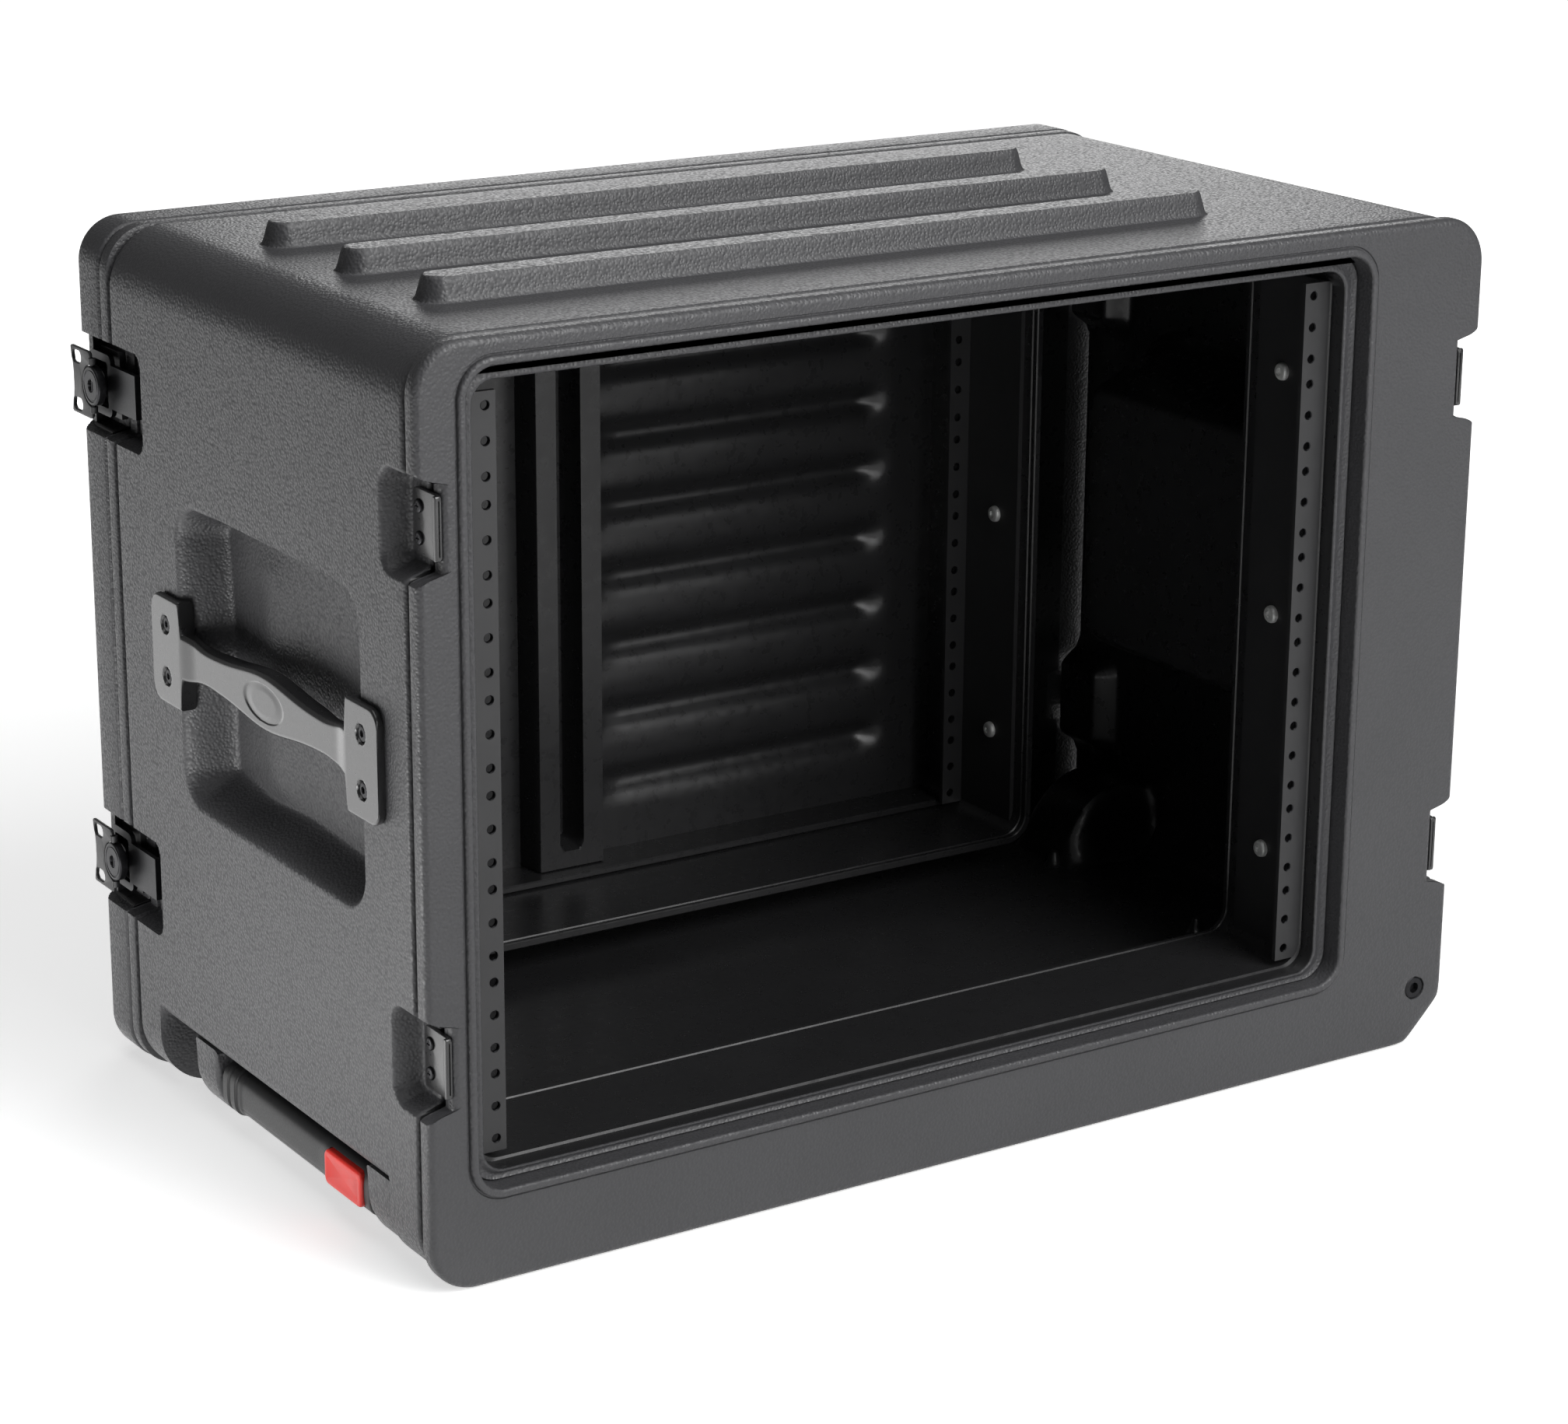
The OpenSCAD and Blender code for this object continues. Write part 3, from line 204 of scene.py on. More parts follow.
def lines(lo, hi, coarse, *zones):
    """Line places from lo to hi, coarse apart, and closer inside each zone (from, to, spacing)."""
    keep = np.linspace(lo, hi, max(2, int(np.ceil((hi - lo) / coarse)) + 1))
    for a, b, fine in zones:
        a, b = max(a, lo), min(b, hi)
        if b > a:
            near = np.linspace(a, b, max(2, int(np.ceil((b - a) / fine)) + 1))
            keep = np.concatenate([keep[(keep < a - fine / 2) | (keep > b + fine / 2)], near])
    keep = np.unique(np.round(keep, 4))
    keep[0], keep[-1] = lo, hi
    return keep


def ease(x, width):
    """0 below zero, 1 above width, and a smooth S between."""
    t = np.clip(x / width, 0, 1)
    return t * t * (3 - 2 * t)


def inside(a, b, ca, cb, ha, hb, r):
    """Distance inside the edge of a rounded rectangle of half sizes ha, hb round (ca, cb); negative
    outside."""
    p, q = np.abs(a - ca) - ha + r, np.abs(b - cb) - hb + r
    return r - np.hypot(np.maximum(p, 0), np.maximum(q, 0)) - np.minimum(np.maximum(p, q), 0)


def arc(cx, cz, r, a0, a1, n=12):
    """n points of a circle's arc, ends left out, with their outward directions."""
    a = np.radians(np.linspace(a0, a1, n + 2)[1:-1])
    n2 = np.stack([np.cos(a), np.sin(a)], -1)
    return np.array([cx, cz]) + r * n2, n2


def loop(x0, x1, z0, z1, r, xs_low, zs_right, xs_top, zs_left, cut=0):
    """A rounded rectangle seen from the front, anticlockwise from its lower left: straight runs at the
    given places, arcs between them, and the lower right corner flattened by a soft chamfer. Returns
    points and outward directions."""
    def run(x, z, n):
        p = np.stack(np.broadcast_arrays(x, z), -1).astype(float)
        return p, np.broadcast_to(np.array(n, float), p.shape)
    parts = [run(xs_low, z0, (0, -1)), arc(x1 - r, z0 + r, r, -90, 0, 20), run(x1, zs_right, (1, 0)),
             arc(x1 - r, z1 - r, r, 0, 90), run(xs_top, z1, (0, 1)), arc(x0 + r, z1 - r, r, 90, 180),
             run(x0, zs_left, (-1, 0)), arc(x0 + r, z0 + r, r, 180, 270, 20)]
    p, n = (np.concatenate([part[k] for part in parts]) for k in (0, 1))
    if cut:
        short = cut - (x1 - p[:, 0]) - (p[:, 1] - z0)
        over = (short + np.sqrt(short ** 2 + 9)) / 4 * ease(short + 10, 8)
        p = p + np.stack([-over, over], -1)
        t = np.roll(p, -1, 0) - np.roll(p, 1, 0)
        bent = np.stack([t[:, 1], -t[:, 0]], -1) / np.hypot(*t.T)[:, None]
        n = np.where((over > 1e-3)[:, None], bent, n)
    return p, n


def rings(items):
    """Stacks closed curves (points, depth y) into a surface: the curve runs along u, the profile along
    v."""
    return np.stack([np.stack([p[:, 0], np.broadcast_to(np.asarray(y, float), p.shape[:1]), p[:, 1]], -1)
                     for p, y in items], 1)


def polyline(points, share):
    """Points at the given shares of a polyline's length."""
    points = np.asarray(points, float)
    run = np.concatenate([[0], np.cumsum(np.hypot(*np.diff(points, axis=0).T))])
    return np.stack([np.interp(share * run[-1], run, points[:, k]) for k in (0, 1)], -1)


def divert(curve, first, last, path):
    """Moves the stretch of a closed curve between the places first and last onto another path between the
    same ends."""
    n = len(curve)
    i0 = int(np.argmin(np.hypot(*(curve - first).T)))
    i1 = int(np.argmin(np.hypot(*(curve - last).T)))
    idx = np.arange(i0, i1 + 1 if i1 > i0 else i1 + 1 + n) % n
    run = np.concatenate([[0], np.cumsum(np.hypot(*np.diff(curve[idx], axis=0).T))])
    out = curve.copy()
    out[idx] = polyline(path, run / run[-1])
    return out


def lathe(profile, turns=40, axis="y", at=(0, 0, 0), dent=None):
    """Turns a profile of (radius, height) round an axis. dent(radius, angle) lowers the height, for a
    drive recess."""
    r, h = np.asarray(profile, float).T
    a = np.linspace(0, 2 * np.pi, turns, endpoint=False)[:, None]
    h = np.broadcast_to(h, (turns, len(r))) - (dent(r[None, :], a) if dent else 0)
    u, w = r * np.cos(a), r * np.sin(a)
    pts = {"x": (h, u, w), "y": (u, h, w), "z": (u, w, h)}[axis]
    return np.stack([np.broadcast_to(c, h.shape) for c in pts], -1) + np.asarray(at, float)


def loft(outline, levels, flat):
    """A plate with rounded edges: the outline is drawn in by each level's inset at that level's height,
    and both ends close on the outline's middle. flat(a, b, h) turns plate coordinates into x, y, z."""
    p = np.asarray(outline, float)
    t = np.roll(p, -1, 0) - np.roll(p, 1, 0)
    n = np.stack([t[:, 1], -t[:, 0]], -1) / np.maximum(np.hypot(*t.T), 1e-9)[:, None]
    area = np.sum(p[:, 0] * np.roll(p[:, 1], -1) - np.roll(p[:, 0], -1) * p[:, 1])
    n = n if area > 0 else -n
    mid = (p.min(0) + p.max(0)) / 2
    stack = [(mid + 0 * p, levels[0][1])] + [(p - n * i, h) for i, h in levels] + [(mid + 0 * p,
        levels[-1][1])]
    return np.stack([np.stack(np.broadcast_arrays(*flat(q[:, 0], q[:, 1], h)), -1) for q, h in stack], 1)


def capped(pts):
    """Closes a grid that is open along u with a middle point at each end."""
    mid = lambda row: np.broadcast_to(row.mean(0), row.shape)[None]
    return np.concatenate([mid(pts[0]), pts, mid(pts[-1])])


def collar(outer, inner, levels, flat, rim=1.0):
    """A plate with a hole: both outlines, of equal length, are drawn into the plate by each level's inset
    at that level's height. rim scales the inset along the outer outline."""
    def drawn(p, sign):
        t = np.roll(p, -1, 0) - np.roll(p, 1, 0)
        return sign * np.stack([t[:, 1], -t[:, 0]], -1) / np.maximum(np.hypot(*t.T), 1e-9)[:, None]
    a, b = np.asarray(outer, float), np.asarray(inner, float)
    na, nb = drawn(a, 1) * np.reshape(rim, (-1, 1)), drawn(b, -1)
    stack = [(a - na * i, h) for i, h in levels] + [(b - nb * i, h) for i, h in levels[::-1]]
    return np.stack([np.stack(np.broadcast_arrays(*flat(q[:, 0], q[:, 1], h)), -1) for q, h in stack], 1)


def bore(pts, zone, rows, centre, r, depth):
    """A round blind hole along y in the flat rows of a ring surface: the quads round it are left out, and
    a new grid runs from their rim to the hole's circle, down its wall and over its floor. Returns the two
    parts."""
    near = np.hypot(pts[..., 0] - centre[0], pts[..., 2] - centre[1]) < r + 3
    near[:, :rows[0] + 1] = near[:, rows[1]:] = False
    i, j = np.flatnonzero(near.any(1)), np.flatnonzero(near.any(0))
    i0, i1, j0, j1 = i[0] - 1, i[-1] + 1, j[0] - 1, j[-1] + 1
    zone = np.array(np.broadcast_to(zone, pts.shape[:2]))
    kind = zone[i0, j0]
    zone[i0:i1, j0:j1] = -1
    rim = np.concatenate([pts[i0:i1, j0], pts[i1, j0:j1], pts[i1:i0:-1, j1], pts[i0, j1:j0:-1]])
    a = np.arctan2(rim[:, 2] - centre[1], rim[:, 0] - centre[0])
    face = rim[:, 1].mean()
    ring = lambda q, y: np.stack([centre[0] + q * np.cos(a), 0 * a + y, centre[1] + q * np.sin(a)], -1)
    sink = np.sign(depth)
    hole = np.stack([rim, ring(r + 0.5, face), ring(r + 0.1, face + 0.15 * sink), ring(r,
        face + 0.5 * sink),
                     ring(r, face + depth), ring(0, face + depth)], 1)
    return [(pts, (True, True), zone), (hole, (True, False), kind)]


def edge_levels(lo, hi, r, n=4):
    """Insets and heights of a plate from lo to hi whose two rims are rounded to radius r."""
    a = np.linspace(0, np.pi / 2, n + 1)
    rim = [(r * (1 - np.sin(t)), r * (1 - np.cos(t))) for t in a]
    return [(i, lo + h) for i, h in rim] + [(i, hi - h) for i, h in rim[::-1]]


def plate_outline(a0, a1, b0, b1, r, n=7):
    """Rounded rectangle as a closed outline, anticlockwise."""
    pts = []
    for ca, cb, s in ((a1 - r, b0 + r, -90), (a1 - r, b1 - r, 0), (a0 + r, b1 - r, 90), (a0 + r, b0 + r,
        180)):
        t = np.radians(np.linspace(s, s + 90, n))
        pts.append(np.stack([ca + r * np.cos(t), cb + r * np.sin(t)], -1))
    return np.concatenate(pts)


# Materials


def add(mat, kind, place=(0, 0), links=None, **settings):
    """Adds a node, sets its properties and sockets, and links sockets to the given outputs."""
    node = mat.node_tree.nodes.new(kind)
    node.location = (220 * place[0], -220 * place[1])
    for key, value in settings.items():
        if hasattr(node, key):
            setattr(node, key, value)
        else:
            node.inputs[key.replace("_", " ")].default_value = value
    for key, out in (links or {}).items():
        mat.node_tree.links.new(out, node.inputs[key])
    return node


def blank(name):
    mat = bpy.data.materials.get(name) or bpy.data.materials.new(name)
    mat.use_nodes = True
    mat.node_tree.nodes.clear()
    return mat


def finish_material(name, rgb, rough, grain_mm, bump, mottle_mm=40, mottle=0.12, metal=0.0, spread=0.08,
                    coat=0.0, brushed=None, kind="noise"):
    """A moulded, painted or plated finish: base colour with slow mottling, roughness that varies with the
    grain, and a fine raised grain of grain_mm. brushed stretches the grain along one axis."""
    mat = blank(name)
    out = add(mat, "ShaderNodeOutputMaterial", (6, 0))
    coord = add(mat, "ShaderNodeTexCoord", (0, 0))
    stretch = add(mat, "ShaderNodeMapping", (1, 1), {"Vector": coord.outputs["Object"]})
    stretch.inputs["Scale"].default_value = brushed or (1, 1, 1)
    if kind == "pebble":
        cells = add(mat, "ShaderNodeTexVoronoi", (2, 1), {"Vector": stretch.outputs[0]},
                    feature="SMOOTH_F1",
                    Scale=1000 / grain_mm, Smoothness=0.6)
        grain = cells.outputs["Distance"]
    else:
        grain = add(mat, "ShaderNodeTexNoise", (2, 1), {"Vector": stretch.outputs[0]},
                    Scale=1000 / grain_mm,
                    Detail=3.0, Roughness=0.55).outputs["Fac"]
    slow = add(mat, "ShaderNodeTexNoise", (2, 0), {"Vector": coord.outputs["Object"]},
               Scale=1000 / mottle_mm,
               Detail=4.0, Roughness=0.6)
    base = np.array(rgb)
    ramp = add(mat, "ShaderNodeValToRGB", (3, 0), {"Fac": slow.outputs["Fac"]})
    ramp.color_ramp.elements[0].position, ramp.color_ramp.elements[1].position = 0.3, 0.7
    ramp.color_ramp.elements[0].color = (*np.clip(base * (1 - mottle), 0, 1), 1)
    ramp.color_ramp.elements[1].color = (*np.clip(base * (1 + mottle), 0, 1), 1)
    speck = add(mat, "ShaderNodeMapRange", (3, 2), {"Value": grain}, From_Min=0.2, From_Max=0.8,
                To_Min=max(rough - spread, 0.05), To_Max=min(rough + spread, 1))
    raised = add(mat, "ShaderNodeBump", (4, 1), {"Height": grain}, Strength=bump[0],
                 Distance=bump[1] / 1000)
    bsdf = add(mat, "ShaderNodeBsdfPrincipled", (5, 0), {"Base Color": ramp.outputs[0],
                                                         "Roughness": speck.outputs[0],
                                                         "Normal": raised.outputs[0]}, Metallic=metal)
    if coat:
        bsdf.inputs["Coat Weight"].default_value = coat
        bsdf.inputs["Coat Roughness"].default_value = 0.15
    mat.node_tree.links.new(bsdf.outputs[0], out.inputs[0])
    return mat


def shell_material():
    # Rotomoulded polyethylene: matt charcoal whose fine leather pebble breaks the light into specks
    return finish_material("polyethylene_pebbled", colours().shell, 0.44, 1.5, (0.6, 0.45), 55, 0.05,
                           kind="pebble",
                           spread=0.14)


def inside_shaded_material():
    # The same polyethylene where it left the mould on the inside: smoother, slightly wavy, and near black, darker
    # than the shell partly for its smoother skin and partly as painted shade of the closed interior
    return finish_material("polyethylene_smooth_shaded", colours().inside, 0.30, 6, (0.12, 0.5), 70, 0.10)


def nylon_material():
    # Glass-filled nylon, injection moulded: black with a satin skin that mirrors wide lamps
    return finish_material("nylon_moulded", colours().nylon, 0.30, 2.2, (0.10, 0.2), 25, 0.10,
                           spread=0.05, coat=0.8)


def paint_material():
    # Powder-coated steel: near black, with the faint orange peel of baked powder
    return finish_material("steel_powder_coat", colours().paint, 0.38, 1.8, (0.14, 0.15), 30, 0.10,
                           spread=0.06)


def zinc_material():
    # Zinc-plated steel: bright, with fine streaks of the plating bath
    return finish_material("steel_zinc_plate", colours().zinc, 0.42, 1.2, (0.08, 0.1), 8, 0.12, metal=0.35)


def black_screw_material():
    # Black oxide steel: dark metal with a dry sheen
    return finish_material("steel_black_oxide", linear("#2e2e30"), 0.34, 0.8, (0.1, 0.08), 6, 0.15,
                           metal=0.85)


def aluminium_material():
    # Anodised aluminium tube, drawn: pale grey with lines along the tube
    return finish_material("aluminium_anodised", linear("#b4b5b8"), 0.34, 1.0, (0.08, 0.06), 20, 0.06,
                           metal=1.0,
                           brushed=(0.02, 1, 1))


def grip_material():
    # Soft-touch plastic over the grip bar: black, matt, fine sandy feel
    return finish_material("grip_soft_plastic", linear("#19191a"), 0.42, 1.0, (0.16, 0.12), 25, 0.08)


def button_material():
    # Red acetal: clean satin plastic with a faint flow mottling
    return finish_material("acetal_red", colours().button, 0.34, 1.5, (0.06, 0.1), 12, 0.06, spread=0.05)


def rubber_material():
    # Polyurethane tyre: dark, dry, slightly dusty from rolling
    return finish_material("urethane_tyre", colours().rubber, 0.62, 1.6, (0.25, 0.2), 9, 0.25)


def wheel_material():
    # Polypropylene wheel centre, moulded: dark grey satin
    return finish_material("polypropylene_wheel", linear("#303033"), 0.45, 1.4, (0.14, 0.12), 15, 0.10)


def steel_material():
    # Ground bearing and axle steel: mid grey metal with turning marks
    return finish_material("steel_ground", linear("#8f9092"), 0.30, 0.7, (0.08, 0.05), 6, 0.10, metal=1.0)


# Shapes shared by the shells


def notch_depth(z, s, grow=0.0, wall=4.0):
    """Depth of the two latch notches of one side at height z: a flat floor with eased walls."""
    return s.notch_d * sum(ease(s.notch_h / 2 + grow - np.abs(z - zc), wall) for zc in LATCH_Z)


def notch_field(y, z, s, grow, front_wall, rear_wall):
    """Depth of the notches of one side of the body: rounded fields that run out over its front and rear
    ends."""
    front = [inside(y, z, YB0 - 20, zc, 43 + grow, s.notch_h / 2 + grow, 10 + grow) for zc in LATCH_Z]
    rear = [inside(y, z, YB1 + 20, zc, 53 + grow, s.notch_h / 2 + grow, 7 + grow) for zc in LATCH_Z]
    return s.notch_d * (sum(ease(e, front_wall) for e in front) + sum(ease(e, rear_wall) for e in rear))


def side_lines(z0, z1, s, fine=0.8, pocket=False, low=None):
    """Heights of the grid lines on a side: close together at the edges of the notches, pocket and pull
    recess."""
    zones = [(zc + e * (s.notch_h / 2 - 4) - 8, zc + e * (s.notch_h / 2 - 4) + 8, fine) for zc in LATCH_Z
             for e in (-1, 1)]
    if pocket:
        for e in (-1, 1):
            edge = HANDLE_Z + e * s.pocket_h / 2
            zones.append((edge - 26, edge + 4, 1.3) if e > 0 else (edge - 4, edge + 26, 1.3))
    if low:
        zones.append(low)
    return lines(z0, z1, 9, *zones)


def spread(values, a0, a1, b0, b1, keep):
    """Carries places in a0..a1 over to b0..b1, unchanged where both have room."""
    lo, hi = max(a0, b0) + keep, min(a1, b1) - keep
    return np.interp(values, [a0, lo, hi, a1], [b0, lo, hi, b1])


# Pieces


class RACKCASE_OT_body(bpy.types.Operator):
    """Body shell: a tube of two skins whose outer and inner faces are pushed in for pockets, notches, the
    pull recess, the wheel wells and the ribs, built as three closed lengths that meet on flat
    stretches"""
    bl_idname = "rack_case.body"
    bl_label = "Body shell"

    def execute(self, context):
        s = sizes()
        r, w, soft = s.body_r, s.wall, s.soft
        recess = (XL + 55.0, 43.0)
        py0, py1 = TRAY[1], TRAY[4]
        well_r, well_h, well_y = 36.0, 18.0, [(t[1] + t[4]) / 2 for t in TYRES]
        right_z = np.sqrt(well_r ** 2 - (XR - AXLE_X) ** 2) + AXLE_Z
        low_x = AXLE_X - np.sqrt(well_r ** 2 - AXLE_Z ** 2)
        web = 5.0
        bay_l = (low_x - 7.5 - XL - 60 - 2 * web) / 3
        bays = [(XL + 60 + i * (bay_l + web), XL + 60 + i * (bay_l + web) + bay_l) for i in range(3)]
        split_x, split_z = bays[0][1] + web / 2, TOP - r - 5
        xs = lines(XL + r, XR - r, 9, (XL + r, recess[0] + 6, 2), (low_x - 4, XR, 1.8),
                   (split_x - 0.2, split_x + 0.2, 0.4), *[(e - 4, e + 4, 1.4) for b in bays for e in b])
        zr = side_lines(r, TOP - r, s, 1.0, True, (0, right_z + 4, 1.6))
        rib_x0, rib_x1 = XL + 45, XR - 117
        xt = lines(XL + r, XR - r, 12, (rib_x0 - 4, rib_x0 + 14, 0.9), (rib_x1 - 14, rib_x1 + 4, 0.9))[::-1]
        zl = side_lines(r, TOP - r, s, 0.8, True, (r, recess[1] + 9, 1.2))[::-1]
        out, n_out = loop(XL, XR, 0, TOP, r, xs, zr, xt, zl, s.chamfer)
        ri = r - w
        inn, n_in = loop(XL + w, XR - w, s.floor_h, TOP - w, ri,
                         spread(xs, xs[0], xs[-1], XL + w + ri, XR - w - ri, 3),
                         spread(zr, zr[0], zr[-1], s.floor_h + ri, TOP - r, 3),
                         spread(xt[::-1], xt[-1], xt[0], XL + w + ri, XR - w - ri, 3)[::-1],
                         spread(zl[::-1], zl[-1], zl[0], s.floor_h + ri, TOP - r, 3)[::-1])
        ribs = HANDLE_Y + 5.5 + s.rib_pitch * np.array([-1, 0, 1])
        hollow = divert(out, (XL, recess[1] + 5), (recess[0] + 3, 0),
                        [(XL, 48), (XL + 1.5, 44.5), (XL + 5, 43), (XL + 50, 43), (XL + 53.5, 41.5),
                         (XL + 55, 38),
                         (XL + 55, 3), (XL + 58, 0)])
        a = np.radians(np.linspace(180 + np.degrees(np.arctan2(AXLE_Z, AXLE_X - low_x)),
                                   np.degrees(np.arctan2(right_z - AXLE_Z, XR - AXLE_X)), 40))
        well = divert(out, (low_x, 0), (XR, right_z),
                      np.stack([AXLE_X + well_r * np.cos(a), AXLE_Z + well_r * np.sin(a)], -1))
        bulge = divert(inn, (XL + w, 58), (XL + 62, s.floor_h),
                       [(XL + w, 58), (XL + w + 2, 52), (XL + w + 8, 48.5), (XL + 52, 48), (XL + 58, 45),
                        (XL + 60, 40),
                        (XL + 62, s.floor_h)])
        wr = well_r + w + 3
        hi_z = np.sqrt(wr ** 2 - (XR - w - AXLE_X) ** 2) + AXLE_Z
        a = np.radians(np.linspace(179, np.degrees(np.arctan2(hi_z - AXLE_Z, XR - w - AXLE_X)), 30))
        hump = divert(inn, (AXLE_X - wr, s.floor_h), (XR - w, hi_z),
                      np.stack([AXLE_X + wr * np.cos(a), AXLE_Z + wr * np.sin(a)], -1))

        def solid(skin, y):
            return np.concatenate([skin[..., :1], np.broadcast_to(y[..., None], skin[..., :1].shape),
                                   skin[..., 1:]], -1)

        def outer(i, y):
            """Outer skin: the outline moved inwards by the sum of the hollows, less the ribs."""
            p, n = out[i], n_out[i]
            x, z, y = p[:, :1], p[:, 1:], y[None, :]
            left, right = (n[:, :1] < -0.99) * 1.0, (n[:, :1] > 0.99) * 1.0
            top, low = (n[:, 1:] > 0.99) * 1.0, (n[:, 1:] < -0.99) * 1.0
            end = np.maximum(soft - np.minimum(y - YB0, YB1 - y), 0)
            push = soft - np.sqrt(np.maximum(soft ** 2 - end ** 2, 0))
            push = push + (left + right) * notch_field(y, z, s, 0, 7, 3)
            edge = inside(y, z, HANDLE_Y, HANDLE_Z, s.pocket_l / 2, s.pocket_h / 2, 20)
            rear = np.clip((y - HANDLE_Y) / (s.pocket_l / 2) - np.abs(z - HANDLE_Z) / s.pocket_h, 0, 1)
            under = np.clip((HANDLE_Z - z) / (s.pocket_h / 2) - np.abs(y - HANDLE_Y) / s.pocket_l, 0, 1)
            ridge = 2.2 * np.exp(-((y - HANDLE_Y - 34) / 16) ** 2)
            push = push + left * ease(edge,
                                      5 + 21 * rear + 15 * under) * (s.pocket_left - ridge * ease(edge - 10, 20))
            push = push + right * ease(edge, 9) * s.pocket_right
            for yc in ribs:
                bar = inside(x, y, (rib_x0 + rib_x1) / 2, yc, (rib_x1 - rib_x0) / 2, s.rib_w / 2, 11.5)
                push = push - top * (RIB_TOP - TOP) * ease(bar, 4.5)
            for b0, b1 in bays:
                push = push + low * (s.floor_h - w) * ease(np.minimum(x - b0, b1 - x), 3) * ease(
                    np.minimum(y - YB0 - 12, YB1 - 12 - y), 3)
            skin = p[:, None, :] - n[:, None, :] * push[..., None]
            skin = skin + (hollow - out)[i][:, None, :] * ease(np.minimum(y - py0, py1 - y), 3.5)[..., None]
            for yc in well_y:
                skin = skin + (well - out)[i][:, None, :] * ease(well_h - np.abs(y - yc), 2.5)[..., None]
            return solid(skin, y)

        def inner(i, y):
            """Inner skin: the same hollows, a wall's thickness larger and much softer."""
            p, n = inn[i], n_in[i]
            z, y = p[:, 1:], y[None, :]
            left, right = (n[:, :1] < -0.99) * 1.0, (n[:, :1] > 0.99) * 1.0
            push = (left + right) * notch_field(y, z, s, 8, 15, 14)
            edge = inside(y, z, HANDLE_Y, HANDLE_Z, s.pocket_l / 2, s.pocket_h / 2, 20)
            push = np.maximum(push, left * ease(edge + 12, 16) * s.pocket_left)
            push = np.maximum(push, right * ease(edge + 21, 30) * s.pocket_right)
            skin = p[:, None, :] - n[:, None, :] * push[..., None]
            skin = skin + (bulge - inn)[i][:, None, :] * ease(np.minimum(y - py0 + w, py1 + w - y),
                                                              6)[..., None]
            for yc in well_y:
                skin = skin + (hump - inn)[i][:, None, :] * ease(well_h + 15 - np.abs(y - yc), 15)[...,
                    None]
            return solid(skin, y)

        ends = [(YB0, YB0 + soft, 0.55), (YB1 - soft, YB1, 0.55)]
        notches = [(YB0 + 8, YB0 + 26, 0.9), (YB1 - 36, YB1 - 22, 0.9)]
        p0, p1 = HANDLE_Y - s.pocket_l / 2, HANDLE_Y + s.pocket_l / 2
        soft_in = [(YB0 + 12, YB0 + 36, 2.2), (YB1 - 46, YB1 - 20, 2.2), (p0 - 22, p0 + 12, 2.2),
                   (p1 - 12, p1 + 22, 2.2)]
        y_left = lines(YB0, YB1, 9, *ends, *notches, (p0 - 2, p0 + 18, 1.0), (p1 - 30, p1 + 3, 1.1),
                       (p0 + 18, p1 - 30, 5),
                       *[(e - 4, e + 4, 1.1) for e in (py0, py1)])
        y_right = lines(YB0, YB1, 9, *ends, *notches, (p0 - 2, p0 + 14, 1.1), (p1 - 14, p1 + 2, 1.1),
                        *[(y + e * well_h - 3.5, y + e * well_h + 3.5, 1.1) for y in well_y for e in (-1,
                            1)])
        y_top = lines(YB0, YB1, 9, *ends, *[(y - s.rib_w / 2 - 3, y + s.rib_w / 2 + 3, 0.75) for y in ribs])
        in_left = lines(YB0, YB1, 9, *soft_in, *[(e - 5, e + 7, 2) for e in (py0 - w, py1 - w)])[::-1]
        in_right = lines(YB0, YB1, 9, *soft_in, *[(y + e * 26 - 10, y + e * 26 + 10, 2) for y in well_y
                                                  for e in (-1, 1)])[::-1]
        nubs = [(XR - w - 60, YB1 - 60), (XR - w - 60, YB1 - 190)] + [(XR - 60 - 130 * i,
            YB1 - 12) for i in (1, 2, 3)]
        cone = [(0, 8.2), (1.6, 8.1), (2.4, 7.4), (3.4, 4), (4.6, 1), (6.2, 0), (6.2, -1.5), (0, -1.5)]
        n = len(out)
        near = lambda q: int(np.argmin(np.hypot(*(out - q).T)))
        i_low, i_right, i_left = near((split_x, 0)), near((XR, split_z)), near((XL, split_z))
        mats = [shell_material(), inside_shaded_material()]
        for name, i, yo, yi in (("left", np.r_[i_left:n, 0:i_low + 1], y_left, in_left),
                                ("right", np.arange(i_low, i_right + 1), y_right, in_right),
                                ("top", np.arange(i_right, i_left + 1), y_top, lines(YB0, YB1, 20)[::-1])):
            grid = np.concatenate([outer(i, yo), inner(i, yi)], 1)
            # The inner skin takes the inside finish, whose near black colour is partly painted shade of the interior
            zone = np.r_[np.zeros(len(yo), int), np.ones(len(yi), int)]
            parts = [(capped(grid), (False, True), zone)]
            if name == "right":
                parts += [(lathe(cone, 20, "z", (nx, ny, s.floor_h)), (True, False), 1) for nx, ny in nubs]
            piece("body_shell_" + name, parts, "case", mats,
                  ["body_shell"] if name == "left" else [])
        return {"FINISHED"}


